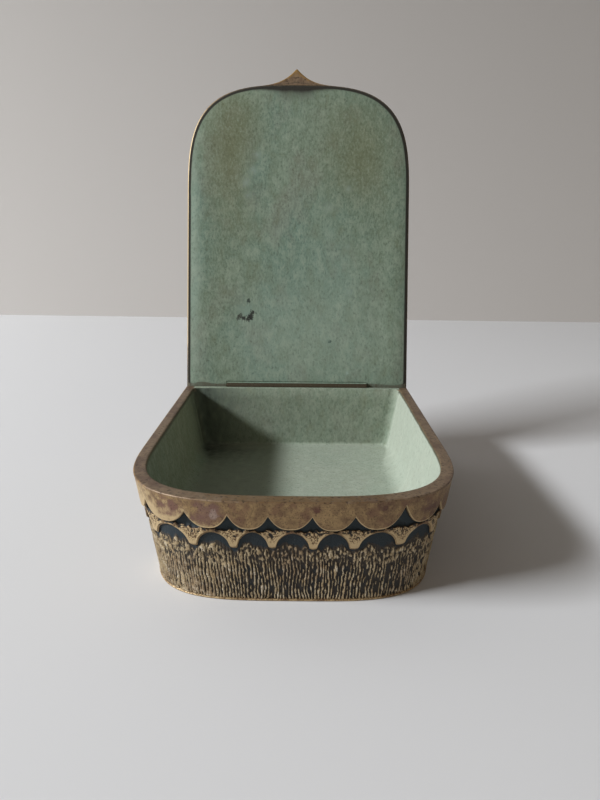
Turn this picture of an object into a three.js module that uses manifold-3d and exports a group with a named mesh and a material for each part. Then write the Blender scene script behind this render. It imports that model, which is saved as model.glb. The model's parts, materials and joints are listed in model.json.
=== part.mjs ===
// A small cast bronze box with a hinged lid. The tray has a D-shaped plan: square corners at
// the back, where the hinge is, and one long rounded end at the front. Its wall leans in
// towards the base and carries a hanging row of lappets, with a row of teeth under them. The
// lid is a flat plate with a pointed thumb tab, shown standing open on its stop.
// Millimetres. +Z is up, the front of the box faces -Y and the hinge runs along X.
import * as THREE from "three";
import { mergeVertices } from "three/addons/utils/BufferGeometryUtils.js";
import Module from "manifold-3d";

const wasm = await Module();
wasm.setup();

// Tray: outside sizes at the rim and at the base
const rimWidth = 90;
const rimLength = 121;
const rimNose = 46; // length of the rounded front end
const rimSquareness = 3.3; // exponent of the superellipse that rounds the front end
const baseNose = 41;
const baseSquareness = 3.75;
const trayHeight = 29;
const sideLean = 5.5; // how far the sides lean in from rim to base
const frontLean = 3.75;

// Tray: casting thickness
const wallThickness = 3.4;
const floorTop = 5.6; // inside floor, above the table
const floorThickness = 3.2;
const footWidth = 3.5; // rim round the hollow underside
const rimChamfer = 0.4;

// Relief on the wall, as depths in from the face of the lappets
const toothInset = 0.8;
const recessInset = 1.3;
const lipInset = 1;
const lipHeight = 0.6; // plain lip round the base

// Relief on the wall, as heights down from the rim
const lappetPitch = 10.4;
const cuspDrop = 4.6; // where two lappets meet
const lappetDrop = 7.7; // the lowest point of a lappet
const toothTopDrop = 7.1;
const archDrop = 8.8; // top of the arch between two teeth
const toothTipDrop = 13.2;
const toothTipWidth = 1.5;
const archRoundness = 1.7; // exponent of the superellipse of an arch
const lappetRoundness = 2.3;

// Lid
const lidThickness = 2.8;
const lidEdge = 0.8; // bevel round the outer face
const lidFieldDepth = 0.6; // how far the field lies below the lid's border
const tabLength = 6.3;
const tabHalfWidth = 11.5;
const tabThickness = 2.2;
const tabOffset = -1; // the tip stands a little to the left of the middle

// Hinge
const openAngle = THREE.MathUtils.degToRad(102.3);
const barrelLength = 57;
const knuckleRadius = 1.6;
const pinRadius = 0.75;
const boreClearance = 0.08;
const axisSetback = 0.75; // hinge axis, behind the tray's back face
const lidGap = 0.3; // between the closed lid and the rim
const seatGap = 0.3; // round the knuckles, between them, and at the stop
const knuckleChamfer = 0.15;

// Fineness of the meshes
const lappetSteps = 8;
const noseSteps = 56;
const roundSteps = 24;

const axisHeight = trayHeight + lidGap / 2;
const frontRun = 3; // the outline's stretch from back corner to back corner, round the front
const wholeRun = 4;

const { lerp } = THREE.MathUtils;

// The box's outline at a height, and inset from the face of the lappets. The sides and the
// front lean in evenly from rim to base, and the back stays plumb so that the lid can rest
// against it when open.
function outlineAt(height, inset) {
  const share = (trayHeight - height) / trayHeight;
  return {
    halfWidth: rimWidth / 2 - sideLean * share - inset,
    length: rimLength - frontLean * share - inset,
    nose: lerp(rimNose, baseNose, share) - inset,
    squareness: lerp(rimSquareness, baseSquareness, share),
    back: -inset,
  };
}

// A point of an outline. Its place runs from 0 to 1 down the left side, to 2 round the nose,
// to 3 up the right side and to 4 along the back, which is counter-clockwise from above.
function outlinePoint(place, outline) {
  const { halfWidth, length, nose, squareness, back } = outline;
  const shoulder = nose - length;
  if (place < 1) {
    return new THREE.Vector2(-halfWidth, lerp(back, shoulder, place));
  }
  if (place < 2) {
    const angle = Math.PI * (place - 1);
    const across = Math.abs(Math.cos(angle) / halfWidth) ** squareness;
    const along = Math.abs(Math.sin(angle) / nose) ** squareness;
    const radius = (across + along) ** (-1 / squareness);
    return new THREE.Vector2(-radius * Math.cos(angle), shoulder - radius * Math.sin(angle));
  }
  if (place < 3) {
    return new THREE.Vector2(halfWidth, lerp(shoulder, back, place - 2));
  }
  return new THREE.Vector2(lerp(halfWidth, -halfWidth, place - 3), back);
}

function wallPoint(place, height, inset) {
  const point = outlinePoint(place, outlineAt(height, inset));
  return new THREE.Vector3(point.x, point.y, height);
}

// Places for plain surfaces: the four corners of the outline and even steps round the nose.
function plainPlaces() {
  const places = [0];
  for (let step = 0; step <= noseSteps; step += 1) {
    places.push(1 + step / noseSteps);
  }
  places.push(3);
  return places;
}

// Stations of the lappet pattern, evenly spaced by length along the rim. Each has its place
// on the outline and its phase, which runs from 0 at one cusp to 1 at the next. The front
// run holds an odd number of lappets, so that one hangs at the middle of the front.
function patternStations() {
  const rim = outlineAt(trayHeight, 0);
  const samples = 1600;
  const lengths = [0];
  for (let i = 1; i <= samples; i += 1) {
    const from = outlinePoint((wholeRun * (i - 1)) / samples, rim);
    const to = outlinePoint(((wholeRun * i) / samples) % wholeRun, rim);
    lengths.push(lengths[i - 1] + from.distanceTo(to));
  }
  const placeAt = (length) => {
    const after = Math.max(1, lengths.findIndex((value) => value >= length));
    const share = (length - lengths[after - 1]) / (lengths[after] - lengths[after - 1]);
    return (wholeRun * (after - 1 + share)) / samples;
  };
  const frontLength = lengths[(samples * frontRun) / wholeRun];
  const backLength = lengths[samples] - frontLength;
  const frontCount = 2 * Math.round((frontLength / lappetPitch - 1) / 2) + 1;
  const backCount = Math.round(backLength / lappetPitch);
  const stations = [];
  const addRun = (start, runLength, count) => {
    for (let i = 0; i < count * lappetSteps; i += 1) {
      const phase = (1 - Math.cos((Math.PI * (i % lappetSteps)) / lappetSteps)) / 2;
      const along = (Math.floor(i / lappetSteps) + phase) / count;
      stations.push({ place: placeAt(start + runLength * along), phase });
    }
  };
  addRun(0, frontLength, frontCount);
  addRun(frontLength, backLength, backCount);
  return stations;
}

// How far a lappet's edge hangs below the rim: steep beside the cusps, flat at the bottom.
function lappetEdge(phase) {
  const toMiddle = 1 - Math.abs(1 - 2 * phase);
  return lerp(cuspDrop, lappetDrop, 1 - (1 - toMiddle) ** lappetRoundness);
}

// How far the toothed row hangs below the rim: a blunt tip under each cusp and an arch
// between two tips.
function toothEdge(phase) {
  const fromMiddle = Math.abs(1 - 2 * phase) * (lappetPitch / 2);
  const archHalfWidth = (lappetPitch - toothTipWidth) / 2;
  const across = Math.min(1, fromMiddle / archHalfWidth) ** archRoundness;
  return toothTipDrop - (toothTipDrop - archDrop) * (1 - across) ** (1 / archRoundness);
}

function meshData(rings, faces) {
  const geometry = new THREE.BufferGeometry().setFromPoints(rings.flat());
  geometry.setIndex(faces.flat());
  return geometry;
}

// The two triangles between neighbouring points of two rings.
function ringFaces(lower, upper, size) {
  const faces = [];
  for (let i = 0; i < size; i += 1) {
    const next = (i + 1) % size;
    faces.push([lower * size + i, lower * size + next, upper * size + next]);
    faces.push([lower * size + i, upper * size + next, upper * size + i]);
  }
  return faces;
}

// A solid through a stack of rings, lowest first, closed by a flat cap at each end.
function loft(rings) {
  const size = rings[0].length;
  const top = rings.length - 1;
  const faces = rings.slice(1).flatMap((_, i) => ringFaces(i, i + 1, size));
  for (const [a, b, c] of THREE.ShapeUtils.triangulateShape(rings[0], [])) {
    faces.push([c, b, a]);
  }
  for (const corners of THREE.ShapeUtils.triangulateShape(rings[top], [])) {
    faces.push(corners.map((corner) => top * size + corner));
  }
  return meshData(rings, faces);
}

// A solid that runs right round the box: its section's corners are rings, and the last one
// joins the first.
function hoop(rings) {
  const size = rings[0].length;
  const faces = rings.flatMap((_, i) => ringFaces(i, (i + 1) % rings.length, size));
  return meshData(rings, faces);
}

function toSolid(geometry) {
  const bare = geometry.clone();
  bare.deleteAttribute("normal");
  bare.deleteAttribute("uv");
  const merged = mergeVertices(bare, 1e-4);
  return new wasm.Manifold(new wasm.Mesh({
    numProp: 3,
    vertProperties: new Float32Array(merged.attributes.position.array),
    triVerts: new Uint32Array(merged.index.array),
  }));
}

function toGeometry(solid) {
  const { vertProperties, triVerts } = solid.getMesh();
  const geometry = new THREE.BufferGeometry();
  geometry.setAttribute("position", new THREE.BufferAttribute(vertProperties, 3));
  geometry.setIndex(new THREE.BufferAttribute(triVerts, 1));
  geometry.computeVertexNormals();
  return geometry;
}

// The wall as it is under the relief, still solid inside, with the plain lip at its base.
function trayCore() {
  const levels = [
    [0, lipInset],
    [lipHeight, lipInset],
    [lipHeight + recessInset - lipInset, recessInset],
    [trayHeight - cuspDrop / 2, recessInset],
  ];
  return loft(levels.map(([height, inset]) => (
    plainPlaces().map((place) => wallPoint(place, height, inset))
  )));
}

// The smooth band under the rim, whose lower edge hangs in lappets.
function lappetBand(stations) {
  const root = 2 * wallThickness;
  const ring = (drop, inset) => stations.map(({ place, phase }) => (
    wallPoint(place, trayHeight - (drop ?? lappetEdge(phase)), inset)
  ));
  return hoop([
    ring(null, 0), ring(rimChamfer, 0), ring(0, rimChamfer), ring(0, root), ring(null, root),
  ]);
}

// The lower row, half as proud, whose teeth point down under the cusps.
function toothBand(stations) {
  const root = 2 * recessInset;
  const ring = (drop, inset) => stations.map(({ place, phase }) => (
    wallPoint(place, trayHeight - (drop ?? toothEdge(phase)), inset)
  ));
  return hoop([
    ring(null, toothInset), ring(toothTopDrop, toothInset),
    ring(toothTopDrop, root), ring(null, root),
  ]);
}

// The room inside the tray: flat floor, walls parallel to the outside.
function trayCavity() {
  const above = trayHeight + lidGap;
  return loft([floorTop, above].map((height) => (
    plainPlaces().map((place) => wallPoint(place, height, wallThickness))
  )));
}

// The hollow under the floor, which leaves the tray standing on a narrow foot.
function footHollow() {
  const inset = lipInset + footWidth;
  const ceiling = floorTop - floorThickness;
  return loft([-lidGap, ceiling].map((height) => plainPlaces().map((place) => {
    const point = outlinePoint(place, outlineAt(0, inset));
    return new THREE.Vector3(point.x, point.y, height);
  })));
}

// The round channel that clears the hinge barrel, along X at the hinge axis.
function barrelChannel() {
  const radius = knuckleRadius + seatGap;
  const channel = new THREE.CylinderGeometry(
    radius, radius, barrelLength + 2 * seatGap, 2 * roundSteps,
  );
  channel.rotateZ(Math.PI / 2);
  channel.translate(0, axisSetback, axisHeight);
  return channel;
}

function trayGeometry(stations) {
  const solid = toSolid(trayCore())
    .add(toSolid(lappetBand(stations)))
    .add(toSolid(toothBand(stations)))
    .subtract(toSolid(trayCavity()))
    .subtract(toSolid(footHollow()))
    .subtract(toSolid(barrelChannel()));
  return toGeometry(solid);
}

// How far the lid reaches behind the hinge axis. This heel meets the tray's plumb back and
// stops the lid at its open angle.
function heelReach() {
  const room = axisSetback + (lidGap / 2) * Math.sin(openAngle) - seatGap;
  return room / -Math.cos(openAngle);
}

function lidOutline(inset) {
  const outline = outlineAt(trayHeight, inset);
  outline.back = axisSetback + heelReach() - inset;
  return outline;
}

function lidRing(places, height, insetAt) {
  return places.map((place, i) => {
    const point = outlinePoint(place, lidOutline(insetAt(i)));
    return new THREE.Vector3(point.x, point.y, height);
  });
}

function lidPlate() {
  const inner = trayHeight + lidGap;
  const outer = inner + lidThickness;
  return loft([
    lidRing(plainPlaces(), inner, () => 0),
    lidRing(plainPlaces(), outer - lidEdge, () => 0),
    lidRing(plainPlaces(), outer, () => lidEdge),
  ]);
}

// The sunk field of the lid's outer face. Its border repeats the lappets of the wall.
function lidField(stations) {
  const places = stations.map(({ place }) => place);
  const insetAt = (i) => lappetEdge(stations[i].phase);
  const outer = trayHeight + lidGap + lidThickness;
  return loft([
    lidRing(places, outer - lidFieldDepth, insetAt),
    lidRing(places, outer + lidGap, insetAt),
  ]);
}

// The thumb tab: two hollow curves that rise from the lid's front edge to a point.
function thumbTab() {
  const shape = new THREE.Shape();
  const root = -wallThickness;
  const curveSteps = lappetSteps;
  shape.moveTo(tabHalfWidth, root);
  shape.lineTo(-tabHalfWidth, root);
  for (let i = -curveSteps; i <= curveSteps; i += 1) {
    const share = i / curveSteps;
    shape.lineTo(share * tabHalfWidth, tabLength * (1 - Math.abs(share)) ** 2);
  }
  const tab = new THREE.ExtrudeGeometry(shape, { depth: tabThickness, bevelEnabled: false });
  tab.rotateX(Math.PI);
  tab.translate(tabOffset, -rimLength, trayHeight + lidGap + tabThickness);
  return tab;
}

function lidGeometry(stations) {
  const solid = toSolid(lidPlate())
    .add(toSolid(thumbTab()))
    .subtract(toSolid(lidField(stations)))
    .subtract(toSolid(barrelChannel()));
  return toGeometry(solid).translate(0, -axisSetback, -axisHeight);
}

// One tube of the hinge barrel, along Y before it is turned.
function knuckleGeometry(length) {
  const bore = pinRadius + boreClearance;
  const half = length / 2;
  const profile = [
    [bore, -half],
    [knuckleRadius - knuckleChamfer, -half],
    [knuckleRadius, knuckleChamfer - half],
    [knuckleRadius, half - knuckleChamfer],
    [knuckleRadius - knuckleChamfer, half],
    [bore, half],
    [bore, -half],
  ];
  const points = profile.map(([radius, along]) => new THREE.Vector2(radius, along));
  return new THREE.LatheGeometry(points, roundSteps);
}

function bronze(colour, roughness) {
  return new THREE.MeshStandardMaterial({ color: colour, roughness, metalness: 0.9 });
}

function makeMesh(name, geometry, material) {
  const mesh = new THREE.Mesh(geometry, material);
  mesh.name = name;
  return mesh;
}

// A piece of the hinge, laid along X, at a distance from the middle of the barrel.
function hingePiece(name, geometry, centre) {
  const piece = makeMesh(name, geometry, bronze("#6e5a46", 0.4));
  piece.rotation.z = Math.PI / 2;
  piece.position.x = centre;
  return piece;
}

function buildBox() {
  const box = new THREE.Group();
  const stations = patternStations();
  box.add(makeMesh("tray", trayGeometry(stations), bronze("#8a7050", 0.45)));

  const fixed = new THREE.Group();
  const leaf = new THREE.Group();
  fixed.position.set(0, axisSetback, axisHeight);
  leaf.position.copy(fixed.position);
  leaf.rotation.x = -openAngle;
  box.add(fixed, leaf);
  leaf.add(makeMesh("lid", lidGeometry(stations), bronze("#7d8a72", 0.6)));

  const names = [
    "tray_knuckle_left", "lid_knuckle_left", "tray_knuckle_centre",
    "lid_knuckle_right", "tray_knuckle_right",
  ];
  const knuckleLength = (barrelLength - (names.length - 1) * seatGap) / names.length;
  names.forEach((name, i) => {
    const carrier = name.startsWith("lid") ? leaf : fixed;
    const centre = (i - (names.length - 1) / 2) * (knuckleLength + seatGap);
    carrier.add(hingePiece(name, knuckleGeometry(knuckleLength), centre));
  });
  const pin = new THREE.CylinderGeometry(pinRadius, pinRadius, barrelLength, roundSteps);
  fixed.add(hingePiece("hinge_pin", pin, 0));
  return box;
}

// The origin is on the table, under the middle of the open box.
function standOnOrigin(box) {
  const middle = new THREE.Box3().setFromObject(box, true).getCenter(new THREE.Vector3());
  box.position.set(-middle.x, -middle.y, 0);
  return box;
}

export default standOnOrigin(buildBox());
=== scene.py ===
"""The looks of a small cast bronze box with a hinged lid, built round its fixed frame.

Lengths in this file are millimetres until a mesh is made, and metres after that. The working
frame of the box has its origin on the table under the middle of the hinge edge: +X to the
right, +Y to the back and +Z up. The front of the box faces -Y. The lid is built closed and
then turned open about the hinge.
"""

import json
import logging
import math
from collections.abc import Callable
from dataclasses import dataclass, field
from enum import Enum

import bpy
import numpy as np
from mathutils import Matrix, Vector


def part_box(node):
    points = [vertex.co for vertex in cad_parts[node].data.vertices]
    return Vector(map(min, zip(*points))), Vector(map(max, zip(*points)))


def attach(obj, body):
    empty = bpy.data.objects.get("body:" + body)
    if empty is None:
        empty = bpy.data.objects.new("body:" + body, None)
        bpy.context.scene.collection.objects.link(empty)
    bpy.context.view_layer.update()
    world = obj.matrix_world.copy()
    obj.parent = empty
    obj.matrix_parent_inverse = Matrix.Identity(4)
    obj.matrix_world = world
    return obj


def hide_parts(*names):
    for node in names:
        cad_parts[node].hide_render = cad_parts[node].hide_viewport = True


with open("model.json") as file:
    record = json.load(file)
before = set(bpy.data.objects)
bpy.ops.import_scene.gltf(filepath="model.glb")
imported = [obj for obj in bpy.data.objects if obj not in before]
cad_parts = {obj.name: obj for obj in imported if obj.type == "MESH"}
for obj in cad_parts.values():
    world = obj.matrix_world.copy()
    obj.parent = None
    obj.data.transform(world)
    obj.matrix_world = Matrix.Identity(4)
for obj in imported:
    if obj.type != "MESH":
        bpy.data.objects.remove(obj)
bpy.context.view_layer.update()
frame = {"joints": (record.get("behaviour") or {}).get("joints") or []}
MM = 0.001
HINGE = frame["joints"][0]
BACK_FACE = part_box("tray")[1].y / MM
AXIS_Y = HINGE["pos_m"][1] / MM - BACK_FACE
AXIS_Z = HINGE["pos_m"][2] / MM
OPEN_ANGLE = math.radians(HINGE["range_deg"][1])
MARKS = ("wear_and_highlight", "hollow", "pits")
LOG = logging.getLogger("trinket_box")

Array = np.ndarray
Amount = Array | float
Points = tuple[Array, Array, Array]
Materials = tuple[bpy.types.Material, ...]
Socket = bpy.types.NodeSocket
Tree = bpy.types.NodeTree


class Body(Enum):
    """The two bodies of the frame."""

    TRAY = "tray"
    LID = "lid"


class Surface(Enum):
    """The finishes of a casting, in the order of its material slots."""

    RELIEF = 0
    RIM = 1
    VERDIGRIS = 2
    UNDERSIDE = 3
    BAND = 4


def smoothstep(low: Amount, high: Amount, value: Amount) -> Array:
    """Rises smoothly from 0 to 1 as value goes from low to high.

    Args:
        low: the value that gives 0.
        high: the value that gives 1. It may be the smaller one.
        value: the values to map.

    Returns:
        3t^2 - 2t^3 of the share t, held between 0 and 1.
    """
    share = np.clip((value - low) / (high - low), 0.0, 1.0)
    return share * share * (3.0 - 2.0 * share)


def value_noise(
    u: Array, v: Amount, cell: tuple[float, float], seed: int, period: float,
) -> Array:
    """Smooth noise on a lattice of random values, which repeats along u.

    The value is the blend of the four random numbers round a point, by smoothstep both ways.

    Args:
        u: places along the repeating direction, in mm.
        v: places across it, in mm.
        cell: the lattice's spacing along u and v, in mm.
        seed: the start of the random numbers.
        period: the length along u after which the noise repeats, in mm.

    Returns:
        Noise from 0 to 1, of the shape of u and v together.
    """
    columns, rows = max(2, round(period / cell[0])), 97
    table = np.random.default_rng(seed).random((columns, rows))
    x, y = u / period * columns, v / cell[1] + 10 * rows
    i, j = np.floor(x).astype(int), np.floor(y).astype(int)
    s, t = smoothstep(0.0, 1.0, x - i), smoothstep(0.0, 1.0, y - j)
    near, far = (
        table[i % columns, row] * (1 - s) + table[(i + 1) % columns, row] * s
        for row in (j % rows, (j + 1) % rows)
    )
    return near * (1 - t) + far * t


@dataclass(frozen=True)
class Stations:
    """Places round the outline that keep step with the row of lappets."""

    place: Array
    arc: Array
    lappet: Array
    phase: Array
    perimeter: float
    count: int

    def sparse(self) -> "Stations":
        """Every fourth station, for the plain surfaces."""
        fewer = (values[::4] for values in (self.place, self.arc, self.lappet, self.phase))
        return Stations(*fewer, self.perimeter, self.count)

    def noise(self, cell: float, seed: int) -> Array:
        """Noise along the rim alone, from -0.5 to 0.5, with cells of that many mm."""
        return value_noise(self.arc, self.arc * 0, (cell, 1.0), seed, self.perimeter) - 0.5

    def grain(self, drop: Amount) -> Points:
        """The wall rolled into a round tube of the same girth, for patterns that follow it.

        Args:
            drop: drops below the rim, in mm.

        Returns:
            Radius times cosine and sine of the share of the girth, and the drop.
        """
        radius = self.perimeter / (2 * math.pi)
        turn = self.arc / radius
        down = np.broadcast_to(np.asarray(drop, float), turn.shape)
        return radius * np.cos(turn), radius * np.sin(turn), down


@dataclass(frozen=True)
class BoxShape:
    """The plan outline of the box and how it changes with height.

    The plan has straight sides, a square back and one end rounded by a superellipse.
    """

    width: float = 90.0
    length: float = 121.0
    rim_nose: float = 46.0
    rim_squareness: float = 3.3
    base_nose: float = 41.0
    base_squareness: float = 3.75
    height: float = 29.0
    side_lean: float = 5.5
    front_lean: float = 3.75

    def at(self, place: float, drop: float) -> tuple[float, float, float]:
        """A point of the wall's outside, in metres of the model.

        Args:
            place: its place on the outline.
            drop: its drop below the rim, in mm.

        Returns:
            The point, a tenth of a millimetre under the surface.
        """
        height = self.height - drop
        x, y = self.outline(np.array([place]), np.array([height]), np.array([0.1]))
        return tuple(tray_place(np.array([[x[0], y[0], height]]))[0])

    def outline(
        self, place: Array, height: Amount, inset: Amount, back: float = 0.0,
    ) -> tuple[Array, Array]:
        """Points of the outline at some heights and insets.

        The place runs from 0 to 1 down the left side, to 2 round the nose, to 3 up the right
        side and to 4 along the back. Round the nose the radius at an angle is
        ((|cos| / half width)^n + (|sin| / nose)^n)^(-1/n).

        Args:
            place: places on the outline.
            height: heights above the table, in mm.
            inset: insets from the face of the lappets, in mm.
            back: where the back edge lies with no inset.

        Returns:
            The points' x and y, in mm.
        """
        share = (self.height - height) / self.height
        half = self.width / 2 - self.side_lean * share - inset
        length = self.length - self.front_lean * share - inset
        nose = self.rim_nose + (self.base_nose - self.rim_nose) * share - inset
        power = self.rim_squareness + (self.base_squareness - self.rim_squareness) * share
        rear = back - inset
        shoulder = nose - length
        angle = np.pi * (np.clip(place, 1, 2) - 1)
        across = (np.abs(np.cos(angle)) / half) ** power
        along = (np.abs(np.sin(angle)) / nose) ** power
        radius = (across + along) ** (-1 / power)
        parts = [place < 1, place < 2, place < 3]
        nose_x, nose_y = -radius * np.cos(angle), shoulder - radius * np.sin(angle)
        left, right = rear + (shoulder - rear) * place, shoulder + (rear - shoulder) * (place - 2)
        x = np.select(parts, [-half + 0 * angle, nose_x, half + 0 * angle],
                      half * (7 - 2 * place))
        y = np.select(parts, [left, nose_y, right], rear + 0 * angle)
        return x, y


@dataclass(frozen=True)
class WallPattern:
    """The rows of lappets and teeth, as drops from the rim in mm, and the bark below them.

    The levels of ridges and specks are where they begin and where they are whole. Runs are
    stretches of the rim, in mm from the hinge down the left side.
    """

    pitch: float = 10.4
    cusp: float = 3.95
    lappet: float = 8.0
    lappet_roundness: float = 2.6
    tooth_top: float = 8.3
    arch: float = 9.2
    tooth_tip: float = 13.3
    tip_width: float = 2.1
    tip_belly: float = 0.35
    arch_roundness: float = 1.8
    tooth_shift: float = 0.06
    hand_wander: float = 0.35
    tall_cusp: int = 17
    tall_cusp_rise: float = 1.9
    bark_pitch: float = 0.93
    bark_start: float = 12.7
    tip_clearance: float = 1.6
    drift: float = 0.9
    jitter: float = 0.34
    ridge_level: tuple[float, float] = (0.55, 0.63)
    speck_level: tuple[float, float] = (0.53, 0.61)
    rubbed_side: float = 0.16
    rubbed_run: tuple[float, float, float, float] = (88.0, 100.0, 118.0, 150.0)
    rubbed_foot: float = 0.1
    dull_sides: float = 0.08
    front_run: tuple[float, float, float, float] = (92.0, 102.0, 200.0, 212.0)
    wide_lappets: tuple[tuple[int, float], ...] = (
        (11, 1.44), (12, 1.11), (13, 1.01), (14, 1.09), (15, 1.06), (16, 1.28), (17, 1.31),
    )
    seed: int = 41

    def stations(self, shape: BoxShape, per_lappet: int) -> Stations:
        """Spaces stations along the rim, as many to each lappet.

        The run round the front holds an odd number of lappets. Those at the front are a
        little wider than the rest, and their widths are shares of the mean.

        Args:
            shape: the plan outline.
            per_lappet: stations to a lappet.

        Returns:
            The stations.
        """
        places = np.linspace(0, 4, 16001)
        x, y = shape.outline(places, shape.height, 0.0)
        reach = np.concatenate([[0.0], np.cumsum(np.hypot(np.diff(x), np.diff(y)))])
        front, whole = float(np.interp(3, places, reach)), float(reach[-1])
        ahead = 2 * round((front / self.pitch - 1) / 2) + 1
        behind = round((whole - front) / self.pitch)
        widths = np.ones(ahead)
        for number, share in self.wide_lappets:
            widths[number] = share
        ends = np.concatenate([[0.0], np.cumsum(widths) / widths.sum() * front])
        ends = np.concatenate([ends, front + (whole - front) * np.arange(1, behind + 1) / behind])
        along = np.arange((ahead + behind) * per_lappet) / per_lappet
        arc = np.interp(along, np.arange(len(ends)), ends)
        lappet = np.floor(along + 1e-9).astype(int)
        place = np.interp(arc, reach, places)
        return Stations(place, arc, lappet, along - lappet, whole, ahead + behind)

    def lappet_edge(self, s: Stations) -> Array:
        """The lappets' lower edge: steep beside the cusps and flat at the bottom.

        From cusp to bottom it falls as 1 - |1 - 2 phase|^roundness. Each cusp and bottom is
        a little off its place, as in a model made by hand, and one cusp is tall.

        Args:
            s: the places round the rim.

        Returns:
            Drops below the rim, in mm.
        """
        rng = np.random.default_rng(self.seed)
        cusps = self.cusp + self.hand_wander * (rng.random(s.count) - 0.5)
        cusps[self.tall_cusp] -= self.tall_cusp_rise
        bottoms = self.lappet - self.hand_wander * rng.random(s.count)
        cusp = cusps[(s.lappet + (s.phase > 0.5)) % s.count]
        bottom = bottoms[s.lappet]
        return cusp + (bottom - cusp) * (1 - np.abs(1 - 2 * s.phase) ** self.lappet_roundness)

    def near_tip(self, s: Stations) -> Array:
        """How near a tooth's middle line is: 0 at the middle of an arch, 1 under a tip."""
        return np.abs(1 - 2 * ((s.phase - self.tooth_shift) % 1.0))

    def tooth_edge(self, s: Stations) -> Array:
        """The toothed row's lower edge: a blunt tip under each cusp, an arch between two.

        An arch is a superellipse across the width that the tips leave. The teeth stand a
        little to the right of the cusps.

        Args:
            s: the places round the rim.

        Returns:
            Drops below the rim, in mm.
        """
        from_middle = self.near_tip(s) * self.pitch / 2
        arch_half = (self.pitch - self.tip_width) / 2
        across = np.minimum(1, from_middle / arch_half) ** self.arch_roundness
        rise = (1 - across) ** (1 / self.arch_roundness)
        drop = self.tooth_tip - (self.tooth_tip - self.arch) * rise
        off_tip = (self.pitch / 2 - from_middle) / (self.tip_width / 2)
        drop = drop + self.tip_belly * np.maximum(0, 1 - off_tip ** 2)
        return drop + 1.6 * self.hand_wander * s.noise(7.0, self.seed + 1)

    def bark(self, arc: Array, drop: Array, period: float) -> tuple[Array, Array]:
        """The height of the bark: wavering upright ridges, broken into grains near the top.

        A ridge stands where a cosine of the ridges' pitch and two noises, of tall and of
        short cells, together rise above its level, so that ridges join, part and end. Higher
        up they give way to grains of a finer noise. On the left and at the foot more of each
        is rubbed, and at the far sides less.

        Args:
            arc: places round the rim, in mm.
            drop: drops below the rim, in mm.
            period: the rim's length, in mm.

        Returns:
            Heights from 0 in the grooves to 1 on the crests, and how far the ridges are
            broken into grains, from 0 to 1.
        """
        pitch = period / round(period / self.bark_pitch)
        drift = value_noise(arc, drop, (3.1, 5.0), self.seed + 2, period) - 0.5
        jitter = value_noise(arc, drop, (0.9, 1.1), self.seed + 7, period) - 0.5
        along = arc + self.drift * drift + self.jitter * jitter
        wave = 0.5 - 0.5 * np.cos(2 * np.pi * along / pitch)
        tall = value_noise(along, drop, (0.7 * pitch, 4.5), self.seed + 3, period)
        fine = value_noise(along, drop, (0.42, 1.0), self.seed + 4, period)
        body = 0.42 * wave + 0.22 * tall + 0.36 * fine
        grains = value_noise(along, drop, (0.34, 0.62), self.seed + 5, period)
        patch = value_noise(arc, drop, (4.0, 3.0), self.seed + 6, period)
        high = smoothstep(22.0, 15.0, drop)
        loose = smoothstep(0.4, 0.9, 0.7 * high + 0.4 * patch)
        a, b, c, d = self.rubbed_run
        rubbed = self.rubbed_side * smoothstep(d, c, arc) * smoothstep(a, b, arc)
        rubbed = rubbed + self.rubbed_foot * smoothstep(26.3, 28.3, drop)
        a, b, c, d = self.front_run
        rubbed = rubbed - self.dull_sides * (smoothstep(b, a, arc) + smoothstep(c, d, arc))
        low, whole = self.ridge_level
        ridges = smoothstep(low - rubbed, whole - rubbed, body) * (0.8 + 0.2 * fine)
        specks = smoothstep(*self.speck_level, 0.35 * body + 0.65 * grains + 0.5 * rubbed)
        return np.maximum(ridges * (1 - 0.75 * loose), specks * 0.95 * loose), loose


@dataclass
class Rows:
    """Rings of points, gathered from one pole or edge of a casting to the other."""

    points: list[Array] = field(default_factory=list)
    grain: list[Array] = field(default_factory=list)
    marks: list[Array] = field(default_factory=list)
    surface: list[Surface] = field(default_factory=list)

    def add(
        self, points: Points, surface: Surface, wear_and_highlight: Amount = 0.0, hollow: Amount = 0.0,
        pits: Amount = 0.0, grain: Points | None = None,
    ) -> None:
        """Adds one ring.

        Args:
            points: the ring's x, y and z, in mm.
            surface: the finish of the strip that ends at this ring.
            wear_and_highlight: rubbed bright metal and painted highlights, from 0 to 1.
            hollow: dark patina in the hollows and painted shade, from 0 to 1.
            pits: how far the surface is stippled, from 0 to 1.
            grain: where the points lie for patterns that follow the surface, in mm.
        """
        ring = np.stack(np.broadcast_arrays(*points), 1).astype(float)
        flat = ring if grain is None else np.stack(np.broadcast_arrays(*grain), 1)
        sizes = [np.broadcast_to(np.asarray(m, float), len(ring)) for m in (wear_and_highlight, hollow, pits)]
        self.points.append(ring)
        self.grain.append(flat.astype(float))
        self.marks.append(np.stack(sizes, 1))
        self.surface.append(surface)

    def add_plate(
        self, ring: Points, shares: Array, surface: Surface, wave: float, cell: float = 9.0,
        flat_edge: float = 0.9, wave_foot: float = 0.5,
        marks: Callable[[Points], dict[str, Amount]] = lambda points: {},
    ) -> None:
        """Adds rings that shrink a flat outline towards its middle, or grow out from it.

        Args:
            ring: the outline's x, y and z, in mm.
            shares: the rings' sizes as shares of the outline; 0 is a pole.
            surface: the finish.
            wave: the height of the casting's slow waves, in mm.
            cell: their length, in mm.
            flat_edge: the share of the outline from which they die out.
            wave_foot: the share of their height that lies below the outline's level.
            marks: gives the marks of some points.
        """
        x, y, z = np.broadcast_arrays(*ring)
        middle, level = (y.min() + y.max()) / 2, z.mean()
        for share in shares:
            size = 1 if share == 0 else len(x)
            across, along = x[:size] * share, middle + (y[:size] - middle) * share
            waves = value_noise(across + 200, along, (cell, cell), 5, 400.0) - wave_foot
            points = (across, along, level + wave * waves * smoothstep(1.0, flat_edge, share))
            self.add(points, surface, **marks(points))


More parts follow.
